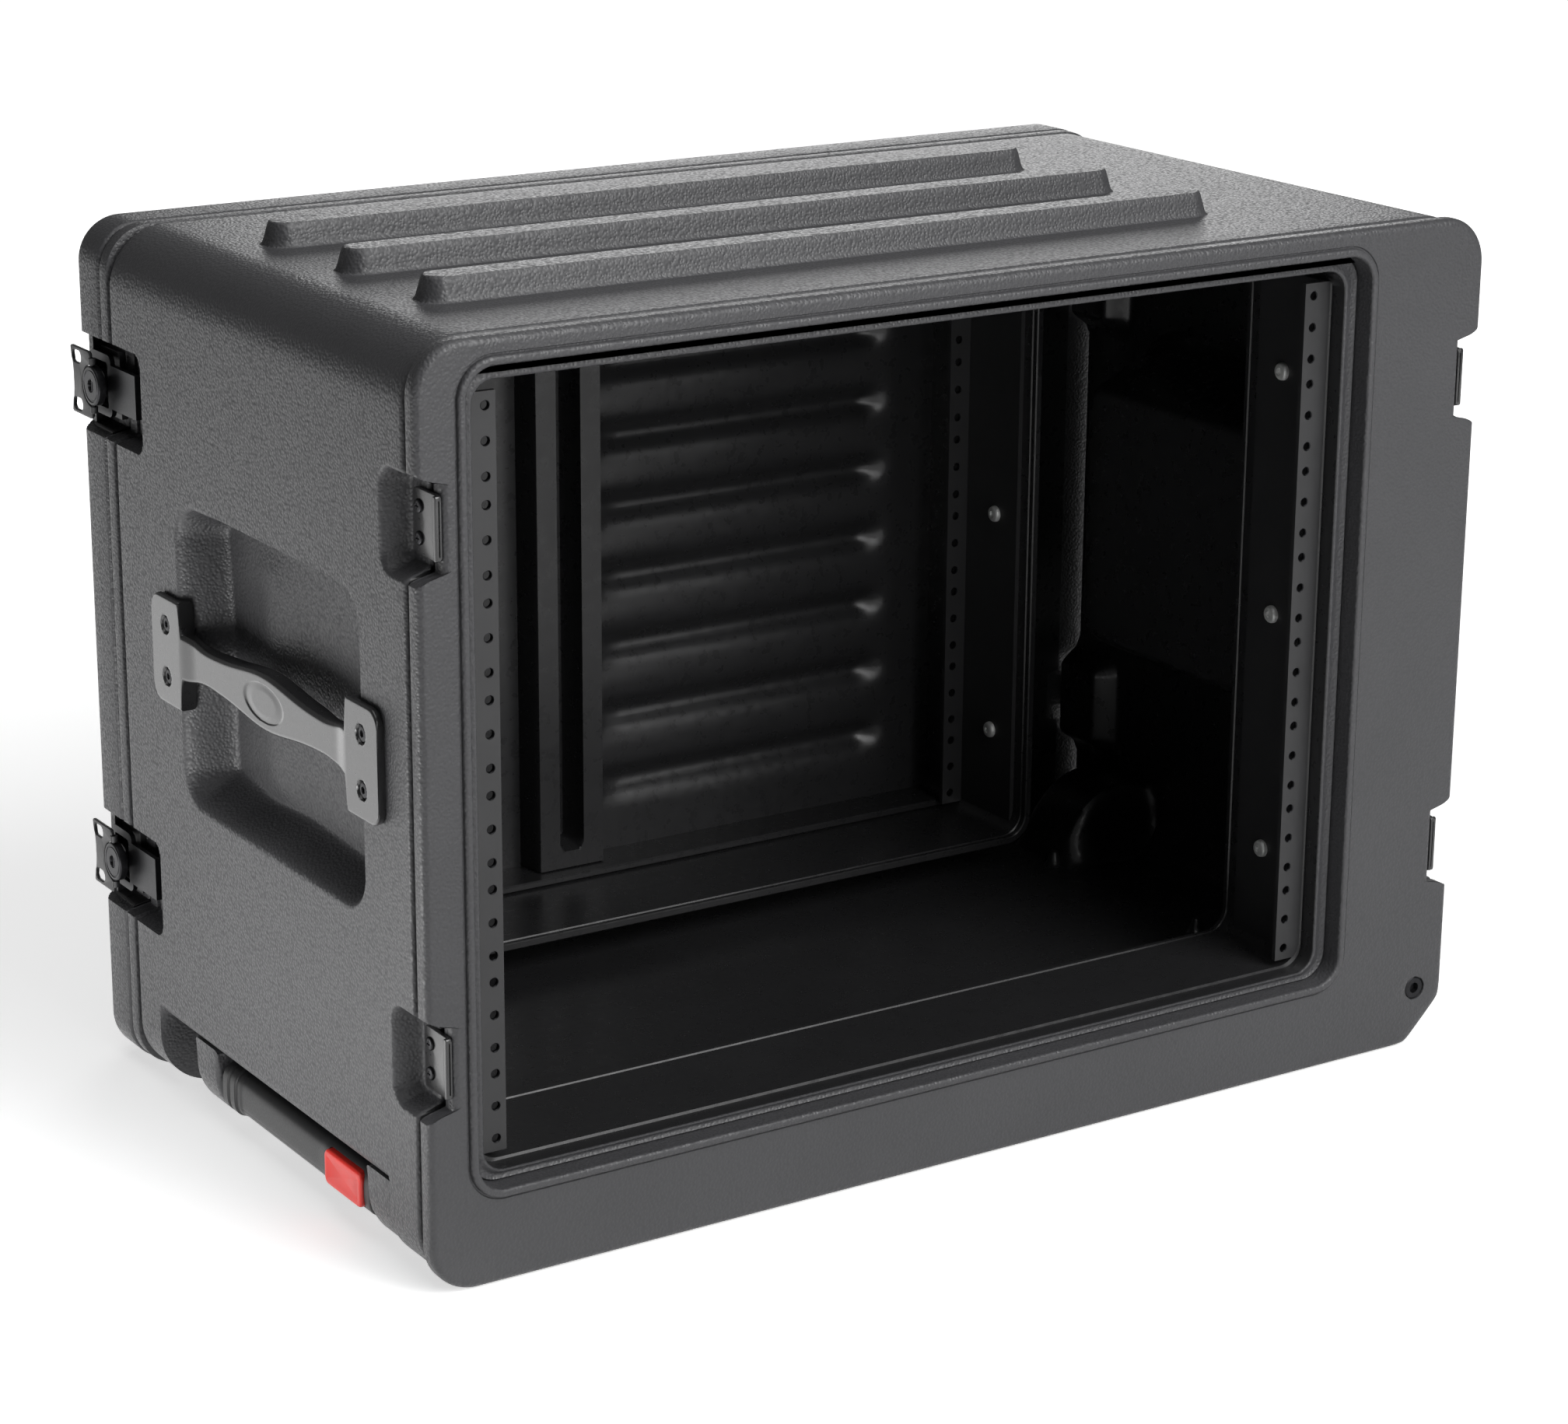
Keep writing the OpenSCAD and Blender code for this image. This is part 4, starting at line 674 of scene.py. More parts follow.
def frame_curves(s, r, wall):
    """The outer outline of a frame or the lid with its four notches, and makers of bay and jamb curves on
    the same lines."""
    xs = lines(XL + r, XR - s.chamfer - 2, 14, (BAY_X + 180, XR, 5))
    zr = side_lines(s.chamfer + 2, TOP - r, s, 0.7, low=(0, AXLE_Z + 12, 1.5))
    xt = lines(XL + r, XR - r, 14)[::-1]
    zl = side_lines(r, TOP - r, s, 0.7)[::-1]

    def outline(inset=0.0, notch=1.0):
        p, n = loop(XL + inset, XR - inset, inset, TOP - inset, max(r - inset, 2), xs, zr, xt, zl,
                    s.chamfer + 0.6 * inset)
        side = np.sign(n[:, 0]) * (np.abs(n[:, 0]) > 0.99)
        p[:, 0] -= side * notch_depth(p[:, 1], s, -inset * 0.5, wall) * notch
        return p

    def bay(side, below, above, rb):
        x0, x1 = BAY_X - RAIL_HALF - side, BAY_X + RAIL_HALF + side
        z0, z1 = RAIL[2] - below, RAIL[5] + above
        return loop(x0, x1, z0, z1, rb, np.interp(xs, [xs[0], xs[-1]], [x0 + rb, x1 - rb]),
                    spread(zr, zr[0], zr[-1], z0 + rb, z1 - rb, 6),
                    np.interp(xt[::-1], [xt[-1], xt[0]], [x0 + rb, x1 - rb])[::-1],
                    spread(zl[::-1], zl[-1], zl[0], z0 + rb, z1 - rb, 6)[::-1])[0]

    def jamb(grow):
        return bay(grow, 3.6 + grow, 10.2 + grow, max(12 + grow, 2))

    return outline, bay, jamb


def quarter(r, n=5):
    """Inset and depth of a rounded rim: from (r, 0) on the face to (0, r) on the side."""
    a = np.linspace(0, np.pi / 2, n)
    return list(zip(r * (1 - np.sin(a)), r * (1 - np.cos(a))))


class RACKCASE_OT_frames(bpy.types.Operator):
    """Front and rear frames: closed rings whose section runs over the face, lip bead, ledge and jamb,
    with a bore for an axle bolt in each"""
    bl_idname = "rack_case.frames"
    bl_label = "Frames"

    def execute(self, context):
        s = sizes()
        outline, bay, jamb = frame_curves(s, s.frame_r, 4.5)
        mats = [shell_material(), inside_shaded_material()]
        face, back, lip = Y_LIP + 2, YB0 - s.seam, s.lip_w
        between = lambda a, b, t: a + (b - a) * t
        opening = lambda g: bay(9.4 + g, 9.6 + g, 15.4 + g, max(14 + g, 2))
        ledge = lambda g: bay(1.2 + g, 4.8 + g, 6.9 + g, max(11 + g, 2))
        # Jamb with a beaded rear edge, then the ledge in front of the rails with a ridge along each side
        sect = [(jamb(0.6), JAMB_F), (jamb(0), JAMB_F - 0.6), (jamb(0), JAMB_F - 3), (jamb(0.7),
            JAMB_F - 3.5),
                (jamb(0.7), JAMB_F - 4.6), (jamb(0), JAMB_F - 5.1), (jamb(0), RAIL_Y + 20), (jamb(0),
                    RAIL_Y + 0.6),
                (ledge(0), RAIL_Y), (ledge(0), back + 1.6)]
        sect += [(between(ledge(0), opening(0), q), back + d) for q, d in (
            (0.03, 0.6), (0.1, 0.05), (0.2, 0), (0.36, 0.8), (0.6, 0.9), (0.78, 0.25), (0.86, 0), (0.93,
                0.4), (1, 1.4))]
        inner_rows = len(sect) - 9
        # Wall, lip bead, a fine groove beside it, and the face
        bead = [(0.0, 1.7), (0.15, 0.9), (0.6, 0.3), (1.3, 0.0)]
        sect += [(opening(0), back - 0.8)] + [(opening(q), Y_LIP + d) for q, d in bead]
        sect += [(opening(lip - q), Y_LIP + d) for q, d in bead[::-1]]
        sect += [(opening(lip + 0.15), face + 0.5), (opening(lip + 0.8), face + 0.5), (opening(lip + 1.2),
            face)]
        f0 = len(sect)
        sect += [(between(opening(lip + 1.8), outline(4.6), q), face) for q in np.linspace(0, 1, 10)]
        f1 = len(sect) - 1
        sect += [(outline(i), face + d) for i, d in quarter(3.6, 7)]
        sect += [(outline(0), back - 1.1), (outline(0.3), back - 0.3), (outline(1.1), back)]
        outside = len(sect)
        sect += [(outline(18, 0.6), back), (jamb(12), back), (jamb(12), RAIL_Y + 4), (jamb(4.6),
            RAIL_Y + 4.6),
                 (jamb(4), JAMB_F - 0.6), (jamb(3.4), JAMB_F)]
        # Jamb, ledge and back rows take the inside finish, whose near black colour is partly painted shade of the
        # opening and the interior
        zone = np.zeros(len(sect), int)
        zone[:inner_rows] = zone[outside:] = 1
        parts = bore(rings(sect), zone, (f0, f1), (AXLE_X, AXLE_Z), 6.5, 5.5)
        piece("front_frame_moulding", parts, "case", mats, ["front_frame"])

        outline, bay, jamb = frame_curves(s, s.frame_r, 3.0)
        front = YB1 + s.seam
        sect = [(jamb(0.6), JAMB_R), (jamb(0), JAMB_R + 0.6), (jamb(0), JAMB_R + 3), (jamb(0.7),
            JAMB_R + 3.5),
                (jamb(0.7), JAMB_R + 4.6), (jamb(0), JAMB_R + 5.1), (jamb(0), front - 20), (jamb(0),
                    YR1 - 0.7), (jamb(0.7), YR1)]
        f0 = len(sect)
        sect += [(between(jamb(6), outline(4), q), YR1) for q in np.linspace(0, 1, 10)]
        f1 = len(sect) - 1
        sect += [(outline(i), YR1 - d) for i, d in quarter(2.0, 5)]
        sect += [(outline(0), front + 1.1), (outline(0.3), front + 0.3), (outline(1.1), front)]
        outside = len(sect)
        sect += [(outline(18, 0.6), front), (jamb(6), front), (jamb(4.6), front - 2), (jamb(4),
            JAMB_R + 0.6),
                 (jamb(3.4), JAMB_R)]
        # Jamb and back rows take the inside finish, whose near black colour is partly painted shade of the interior
        zone = np.zeros(len(sect), int)
        zone[:f0] = zone[outside:] = 1
        parts = bore(rings(sect), zone, (f0, f1), (AXLE_X, AXLE_Z), 6.5, -5.5)
        piece("rear_frame_moulding", parts, "case", mats, ["rear_frame"])
        return {"FINISHED"}


class RACKCASE_OT_lid(bpy.types.Operator):
    """Rear lid: a closed wall ring, a tongue ring, and a panel whose two faces carry corrugations, strip
    and slot"""
    bl_idname = "rack_case.lid"
    bl_label = "Rear lid"

    def execute(self, context):
        s = sizes()
        outline, bay, jamb = frame_curves(s, s.lid_r, 3.0)
        y0, y1 = YR1 + 1, LID_BACK - 5
        yi = y1 - s.wall
        sect = [(outline(s.wall, 1.0), yi + 1), (outline(s.wall, 1.0), y0 + 0.8), (outline(s.wall - 0.8,
            1.0), y0)]
        sect += [(outline(i), y0 + d) for i, d in quarter(1.8, 4)]
        sect += [(outline(i), y1 - d) for i, d in quarter(7, 8)[::-1]]
        sect += [(outline(9), y1), (outline(16), y1 - 0.2), (outline(16), yi + 1)]
        # Inner rows of the wall and the tongue take the inside finish, whose near black colour is partly painted
        # shade of the interior
        zone = np.zeros(len(sect), int)
        zone[:2] = 1
        zone[-2:] = 1
        parts = [(rings(sect), (True, True), zone)]
        ton = [(jamb(-0.5), TONGUE + 0.8), (jamb(-1.3), TONGUE), (jamb(-3.7), TONGUE), (jamb(-4.5),
            TONGUE + 0.8),
               (jamb(-4.5), yi + 1), (jamb(-0.5), yi + 1)]
        parts.append((rings(ton), (True, True), 1))

        # Panel: rows of constant height that end on the outline's chord
        inset, r = 6.0, s.lid_r - 6
        x0, x1, z0, z1 = XL + inset, XR - inset, inset, TOP - inset
        strip_x, strip_h, slot_h = BAY_X - 10.5, 22.5, 7.5
        first, raised = RAIL[2] + 38.5, 18.0
        ends = [BAY_X - 243, BAY_X + 211]
        edges = [strip_x + e * q for e in (-1, 1) for q in (slot_h, strip_h)]
        xs = lines(x0, x1, 10, *[(e - 24, e + 24, 2.4) for e in ends], *[(e - 3.5, e + 3.5,
            0.7) for e in edges])
        zs = lines(z0, z1, 2.4, (RAIL[2] - 3, RAIL[2] + 24, 1.2), (RAIL[5] - 24, RAIL[5] + 10, 1.2))
        d = np.minimum(np.minimum(zs - z0, z1 - zs), r)
        pull = r - np.sqrt(np.maximum(r ** 2 - (r - d) ** 2, 0))
        gap = np.maximum(s.chamfer + 0.6 * inset - (zs - z0), pull)
        z = zs[None, :]
        x = np.stack([np.interp(xs, [x0, x0 + 40, x1 - 40, x1], [x0 + a, x0 + 40, x1 - 40, x1 - b])
                      for a, b in zip(pull, np.where(zs < z0 + 40, gap, pull))], 1)
        # Corrugation: narrow grooves between slightly crowned lands; the inner face has them right of the strip only
        turn = (z - first) / s.lid_pitch
        off = turn - np.clip(np.round(turn), 0, 8)
        groove = np.exp(-(off * s.lid_pitch / 6.5) ** 2)
        crown = np.where((turn > -0.5) & (turn < 8.5), 0.5 + 0.5 * np.cos(2 * np.pi * turn), 0)
        half = inside(x, z, sum(ends) / 2, BAY_Z, (ends[1] - ends[0]) / 2, 180, 18)
        wave = (0.78 * groove + 0.22 * crown) * ease(half, 22)
        strip = ease(strip_h - np.abs(x - strip_x), 2.5) * ease(np.minimum(z - RAIL[2] + 1,
            RAIL[5] + 8 - z), 2.5)
        slot = ease(inside(x, z, strip_x, BAY_Z, slot_h, (RAIL[5] - RAIL[2]) / 2 - 10, 8), 2.5)
        clear = 1 - ease(strip_h + 8 - np.abs(x - strip_x), 8)
        front = yi + 7 * wave * clear * ease(x - strip_x, 5) - raised * strip * (1 - slot) + 0.5 * slot
        rear = y1 + 5 * wave * clear
        grid = np.stack([np.stack([x, front, z + 0 * x], -1), np.stack([x, rear, z + 0 * x], -1)])
        sheet = np.concatenate([grid[0], grid[1][:, ::-1]], 1)
        # The panel's inner face takes the inside finish, partly painted shade of the interior; its outer face takes
        # the shell
        zone = np.r_[np.ones(len(zs), int), np.zeros(len(zs), int)]
        zone[len(zs) - 1] = 0
        parts.append((sheet, (False, True), zone))
        parts += [(np.stack([grid[0][k], grid[1][k]]), (False, False), 0) for k in (0, -1)]
        piece("rear_lid_moulding", parts, "lid", [shell_material(),
            inside_shaded_material()],
              ["rear_lid"])
        return {"FINISHED"}


class RACKCASE_OT_rails(bpy.types.Operator):
    """Rack rails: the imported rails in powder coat, with a dark thread in every rack hole"""
    bl_idname = "rack_case.rails"
    bl_label = "Rails"

    def execute(self, context):
        paint = paint_material()
        rails = ("rail_front_left", "rail_front_right", "rail_rear_left", "rail_rear_right")
        dress(paint, *rails)
        unit = (RAIL[5] - RAIL[2]) / RACK_UNITS
        rows = RAIL[2] + np.add.outer(unit * np.arange(RACK_UNITS), [HOLE_EDGE, unit / 2,
            unit - HOLE_EDGE]).ravel()
        sleeve = [(2.4, 0.05), (2.28, 0), (2.0, 0.35), (2.12, 0.7), (1.98, 1.05), (2.12, 1.4), (1.98,
            1.75), (2.12, 2.1),
                  (2.28, 2.5), (2.4, 2.45)]
        parts = []
        for node, y in zip(rails, (RAIL[1], RAIL[1], RAIL_REAR[4] - 2.5, RAIL_REAR[4] - 2.5)):
            x = BAY_X + (HOLE_HALF if "right" in node else -HOLE_HALF)
            parts += [(lathe(sleeve, 12, "y", (x, y, z)), (True, True), 0) for z in rows]
        piece("rail_threads", parts, "case", [black_screw_material()])
        return {"FINISHED"}


def dress(mat, *nodes):
    """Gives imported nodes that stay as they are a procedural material."""
    for node in nodes:
        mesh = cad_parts[node].data
        mesh.materials.clear()
        mesh.materials.append(mat)


def cross(width, reach, depth):
    """A cross-shaped drive recess: deep where the point is near either arm."""
    return lambda r, a: depth * ease(reach - r, 0.3) * ease(
        width - np.minimum(np.abs(r * np.cos(a)), np.abs(r * np.sin(a))), 0.35)


def hexagon(flat, depth):
    """A hexagon socket: deep where the point is inside the six flats."""
    return lambda r, a: depth * ease(flat - r * np.cos((a + np.pi / 6) % (np.pi / 3) - np.pi / 6), 0.25)


def head_profile(r, h, crown, steps=9):
    """Profile of a domed screw head from its middle to its foot."""
    inner = np.linspace(0, 0.72 * r, steps)
    t = np.linspace(0, np.pi / 2, 5)[1:]
    top = [(q, h - crown * (q / r) ** 2) for q in inner]
    side = [(0.72 * r + 0.28 * r * np.sin(a),
             h - crown * 0.52 - (h - crown * 0.52 - 0.3) * (1 - np.cos(a)) * 0.9) for a in t]
    return top + side + [(r, 0), (0, 0)]


class RACKCASE_OT_screws(bpy.types.Operator):
    """Screws: domed heads turned from a profile, with a cross or hexagon recess and a shank"""
    bl_idname = "rack_case.screws"
    bl_label = "Screws"

    def execute(self, context):
        s = sizes()
        shank = lambda r, l: [(0, 0.2), (r, 0.2), (r, -l), (0, -l)]
        def place(profile, x, y, z, side, dent=None, turns=48):
            p = lathe(profile, turns, "x", dent=dent)
            p[..., 0] *= side
            return (p + np.array([x, y, z]), (True, False), 0)

        parts = []
        for side in (-1, 1):
            x = BAY_X + side * (RAIL_HALF - 2.5)
            for y in (RAIL_Y + 30, RAIL_REAR[4] - 30):
                for z in (BAY_Z - RAIL_SCREW_STEP, BAY_Z, BAY_Z + RAIL_SCREW_STEP):
                    parts.append(place(head_profile(4.6, 2.8, 0.5, 14), x, y, z, -side, hexagon(1.7, 1.4)))
                    parts.append(place(shank(2.5, 5.6), x, y, z, -side, turns=16))
        piece("rail_pan_screws", parts, "case", [zinc_material()], ["rail_screws"])

        parts = []
        for side, x in ((-1, XL), (1, XR)):
            for y in (HANDLE_Y - HANDLE_SCREW_Y, HANDLE_Y + HANDLE_SCREW_Y):
                for z in (HANDLE_Z - HANDLE_SCREW_Z, HANDLE_Z + HANDLE_SCREW_Z):
                    parts.append(place(head_profile(4.2, 2.0, 0.3, 14), x + side * 1.5, y, z, side,
                                       hexagon(1.6, 1.3)))
                    parts.append(place(shank(2, 6.5), x + side * 1.5, y, z, side, turns=16))
        piece("handle_socket_screws", parts, "case", [black_screw_material()],
              ["handle_screws"])

        parts = []
        keeper = span("rear_catch_upper_left")
        for side, x in ((-1, XL), (1, XR)):
            for zc in LATCH_Z:
                for y, plate in ((YB0 + 5.5, FRONT_PLATE), (keeper[1] + 3.3, KEEPER_PLATE)):
                    for z in (zc - CATCH_SCREW_Z, zc + CATCH_SCREW_Z):
                        at = (x + side * (plate - s.notch_d), y, z, side)
                        parts.append(place(head_profile(3.2, 1.4, 0.35, 12), *at, cross(0.4, 1.6, 0.7)))
                        parts.append(place(shank(1.8, plate + 3.8), *at, turns=14))
        piece("catch_pan_screws", parts, "case", [black_screw_material()], ["catch_screws"])
        return {"FINISHED"}


class RACKCASE_OT_handles(bpy.types.Operator):
    """Carry handles: a rounded section carried along the case, low plates at its ends and a swelling bow
    between"""
    bl_idname = "rack_case.handles"
    bl_label = "Carry handles"

    def execute(self, context):
        half = (HANDLE[4] - HANDLE[1]) / 2
        plate_h, inner, neck = (HANDLE[5] - HANDLE[2]) / 2, 88.0, 8.8
        y = lines(-half, half, 2.2, *[(e * HANDLE_SCREW_Y - 7, e * HANDLE_SCREW_Y + 7, 0.6) for e in (-1,
            1)], (-22, 22, 0.9),
                  *[(e * half - 6, e * half + 6, 0.45) for e in (-1, 1)], *[(e * inner - 3.5,
                      e * inner + 3.5, 0.4) for e in (-1, 1)])
        t = np.abs(y)
        bow = neck + 5.2 * np.exp(-(t / 33) ** 2) + 3.0 * ease(t - 58, 30) ** 1.3
        end = np.maximum(8 - (half - t), 0)
        plate = plate_h - (8 - np.sqrt(np.maximum(64 - end ** 2, 0)))
        mix = ease(t - inner + 1.6, 2.6)
        hh = bow + (plate - bow) * mix
        hi = 2 + 2 * ease(t - inner + 14, 15)
        lo = (-8 + 3.5 * ease(t - 44, 36)) * (1 - ease(t - inner - 3, 3.0))
        rc = np.minimum(np.minimum(2.6 - 0.9 * mix, (hi - lo) / 2 - 0.05), hh - 0.4)
        # The section: outer face, rounded rim, edge, rounded rim, inner face, and back
        nf, nr = 74, 6
        f = np.linspace(-1, 1, nf)
        a = np.linspace(0, np.pi / 2, nr + 2)[1:-1]
        col = lambda v: v[:, None]
        zf, uf = col(hh - rc) * f, col(hi) + 0 * f
        z1, u1 = col(hh - rc) + col(rc) * np.sin(a), col(hi - rc) + col(rc) * np.cos(a)
        z2, u2 = col(hh - rc) + col(rc) * np.cos(a), col(lo + rc) - col(rc) * np.sin(a)
        g = np.linspace(1, -1, 14)
        zb, ub = col(hh - rc) * g, col(lo) + 0 * g
        z = np.concatenate([zf, z1, z2, zb, -z2[:, ::-1], -z1[:, ::-1]], 1)
        u = np.concatenate([uf, u1, u2, ub, u2[:, ::-1], u1[:, ::-1]], 1)
        yy = np.broadcast_to(col(y), z.shape)
        face = np.zeros(z.shape[1])
        face[:nf] = 1
        for e in (-1, 1):
            for b in (-1, 1):
                hole = np.hypot(yy - e * HANDLE_SCREW_Y, z - b * HANDLE_SCREW_Z)
                u = u - face * 2.4 * ease(4.9 - hole, 0.8)
        oval = np.hypot(yy / 21, z / 9.6)
        u = u - face * 0.55 * ease(1 - oval, 0.07) + face * 0.4 * ease(0.9 - oval, 0.35)
        pts = capped(np.stack([u, yy, z], -1))
        for side, x, name in ((-1, XL, "left"), (1, XR, "right")):
            q = pts.copy()
            q[..., 0] = x + side * q[..., 0]
            q[..., 1] += HANDLE_Y
            q[..., 2] += HANDLE_Z
            piece("carry_handle_" + name, [(q, (False, True), 0)], "case",
                  [nylon_material()],
                  ["side_handle_" + name], 35)
        return {"FINISHED"}


class RACKCASE_OT_catches(bpy.types.Operator):
    """Catches and keepers: plates with rounded rims, a lip across the front or rear end, and ribs along a
    keeper"""
    bl_idname = "rack_case.catches"
    bl_label = "Catches"

    def execute(self, context):
        s = sizes()
        nylon = nylon_material()
        for k in CORNERS:
            side, x = (-1, XL) if "left" in k else (1, XR)
            turn = lambda a, c, h: (x + side * (h - s.notch_d), a, c)
            for end, plate in (("front", FRONT_PLATE), ("rear", KEEPER_PLATE)):
                x0, y0, z0, x1, y1, z1 = span(f"{end}_catch_{k}")
                high, mid = x1 - x0, (z0 + z1) / 2
                bars = [(y0, y1, z0, z1, 2.5, 0, plate, 0.5)]
                if end == "front":
                    bars.append((y0, y0 + 2.5, z0 + 0.3, z1 - 0.3, 1.1, 0.5, high, 0.6))
                else:
                    bars.append((y1 - 2.5, y1, mid - 11, mid + 11, 1.0, 0.5, high, 0.5))
                    bars += [(y0 + q, y0 + q + 1.4, mid - 12, mid + 12, 0.6, 0.5, plate + 0.8,
                              0.35) for q in (7.4, 9.8)]
                parts = [(loft(plate_outline(a0, a1, c0, c1, r), edge_levels(lo, hi, rim), turn), (True,
                    False), 0)
                         for a0, a1, c0, c1, r, lo, hi, rim in bars]
                piece(f"{end}_catch_plate_{k}", parts, "case", [nylon], [f"{end}_catch_{k}"])
        return {"FINISHED"}


class RACKCASE_OT_latches(bpy.types.Operator):
    """Twist latches: turned hubs with a hexagon socket and cam, wings with two finger slots, packed bases
    and hooks"""
    bl_idname = "rack_case.latches"
    bl_label = "Latches"

    def execute(self, context):
        dark, paint = black_screw_material(), paint_material()
        disc, up, under, pin, reach = 10.0, 2.4, -1.6, 0.9, 13.9
        rod = lambda r, lo, hi: [(0, hi), (r - 0.2, hi), (r, hi - 0.2), (r, lo + 0.2), (r - 0.2, lo), (0,
            lo)]
        top = [(q, up) for q in np.linspace(0, disc - 2.6, 16)] + [(disc - 2.3, up - 0.35), (disc - 1.9,
            up - 0.35),
                                                                   (disc - 1.6, up)]
        rim = [(disc - i, up - d) for i, d in quarter(0.9, 4)]
        # Half a wing: its outer outline from the hub along the middle, round the tail and back along the hub's ring
        a = np.radians(np.linspace(0, 90, 12))
        tail = np.stack([24 - 3.2 * np.cos(a) ** 2, 17 * np.sin(a)], -1)[:-2]
        ends = np.concatenate([[(disc + 0.5, 0)], tail, [(23.6, 16.2), (22.6, 17), (2, 17), (0.6, 16.4),
                                                         (0, 15)],
                               (disc + 0.5) * np.stack([np.sin(a), np.cos(a)], -1)])
        n = 96
        half = polyline(np.concatenate([ends, ends[:1]]), np.arange(n) / n)
        slot = plate_outline(11, 22, 8.9, 15.2, 3, 9)
        start = int(np.argmin(np.hypot(*(slot - half[0]).T)))
        slot = polyline(np.concatenate([np.roll(slot, -start, 0), slot[start:start + 1]]), np.arange(n) / n)
        free = ease(half[:, 1], 0.8)
        for k in CORNERS:
            side, x = (-1, XL) if "left" in k else (1, XR)
            zc = LATCH_Z["lower" in k]
            flip = np.array([side, 1, 1])
            at = np.array([x, HUB_Y, zc])
            turned = lambda prof, off=(0, 0, 0), axis="x", dent=None, turns=36: (
                (lathe(prof, turns, axis, off, dent)) * flip + at, (True, False), 0)
            parts = [turned(top + rim + [(disc, under), (0, under)], dent=hexagon(3.0, 2.4), turns=96),
                     turned(rod(4, -4.9, under + 0.2)), turned(rod(7, -7.3, -4.8), (0, 4, 0)),
                     turned(rod(2.5, -12.6, -7.2)),
                     turned(rod(1, -reach, reach), (pin, 0, 0), "z", turns=16)]
            piece("latch_turn_" + k, parts, "hub_" + k, [dark], ["latch_hub_" + k])
            parts = []
            for b in (-1, 1):
                turn = lambda p, q, h: (x + side * h, HUB_Y + p, zc + b * q)
                parts.append((collar(half, slot, edge_levels(0.5, 2.3, 0.45, 3), turn, free), (True,
                    True), 0))
                parts.append(turned(rod(1.95, reach - 3.4, reach), (pin, 0, 0), "z", turns=20))
                parts[-1][0][..., 2] = zc + b * (parts[-1][0][..., 2] - zc)
            piece("latch_leaf_" + k, parts, "wing_" + k, [paint],
                  ["latch_wing_" + k])
            dress(paint, "latch_base_" + k)
            dress(dark, "latch_hook_" + k)
        return {"FINISHED"}


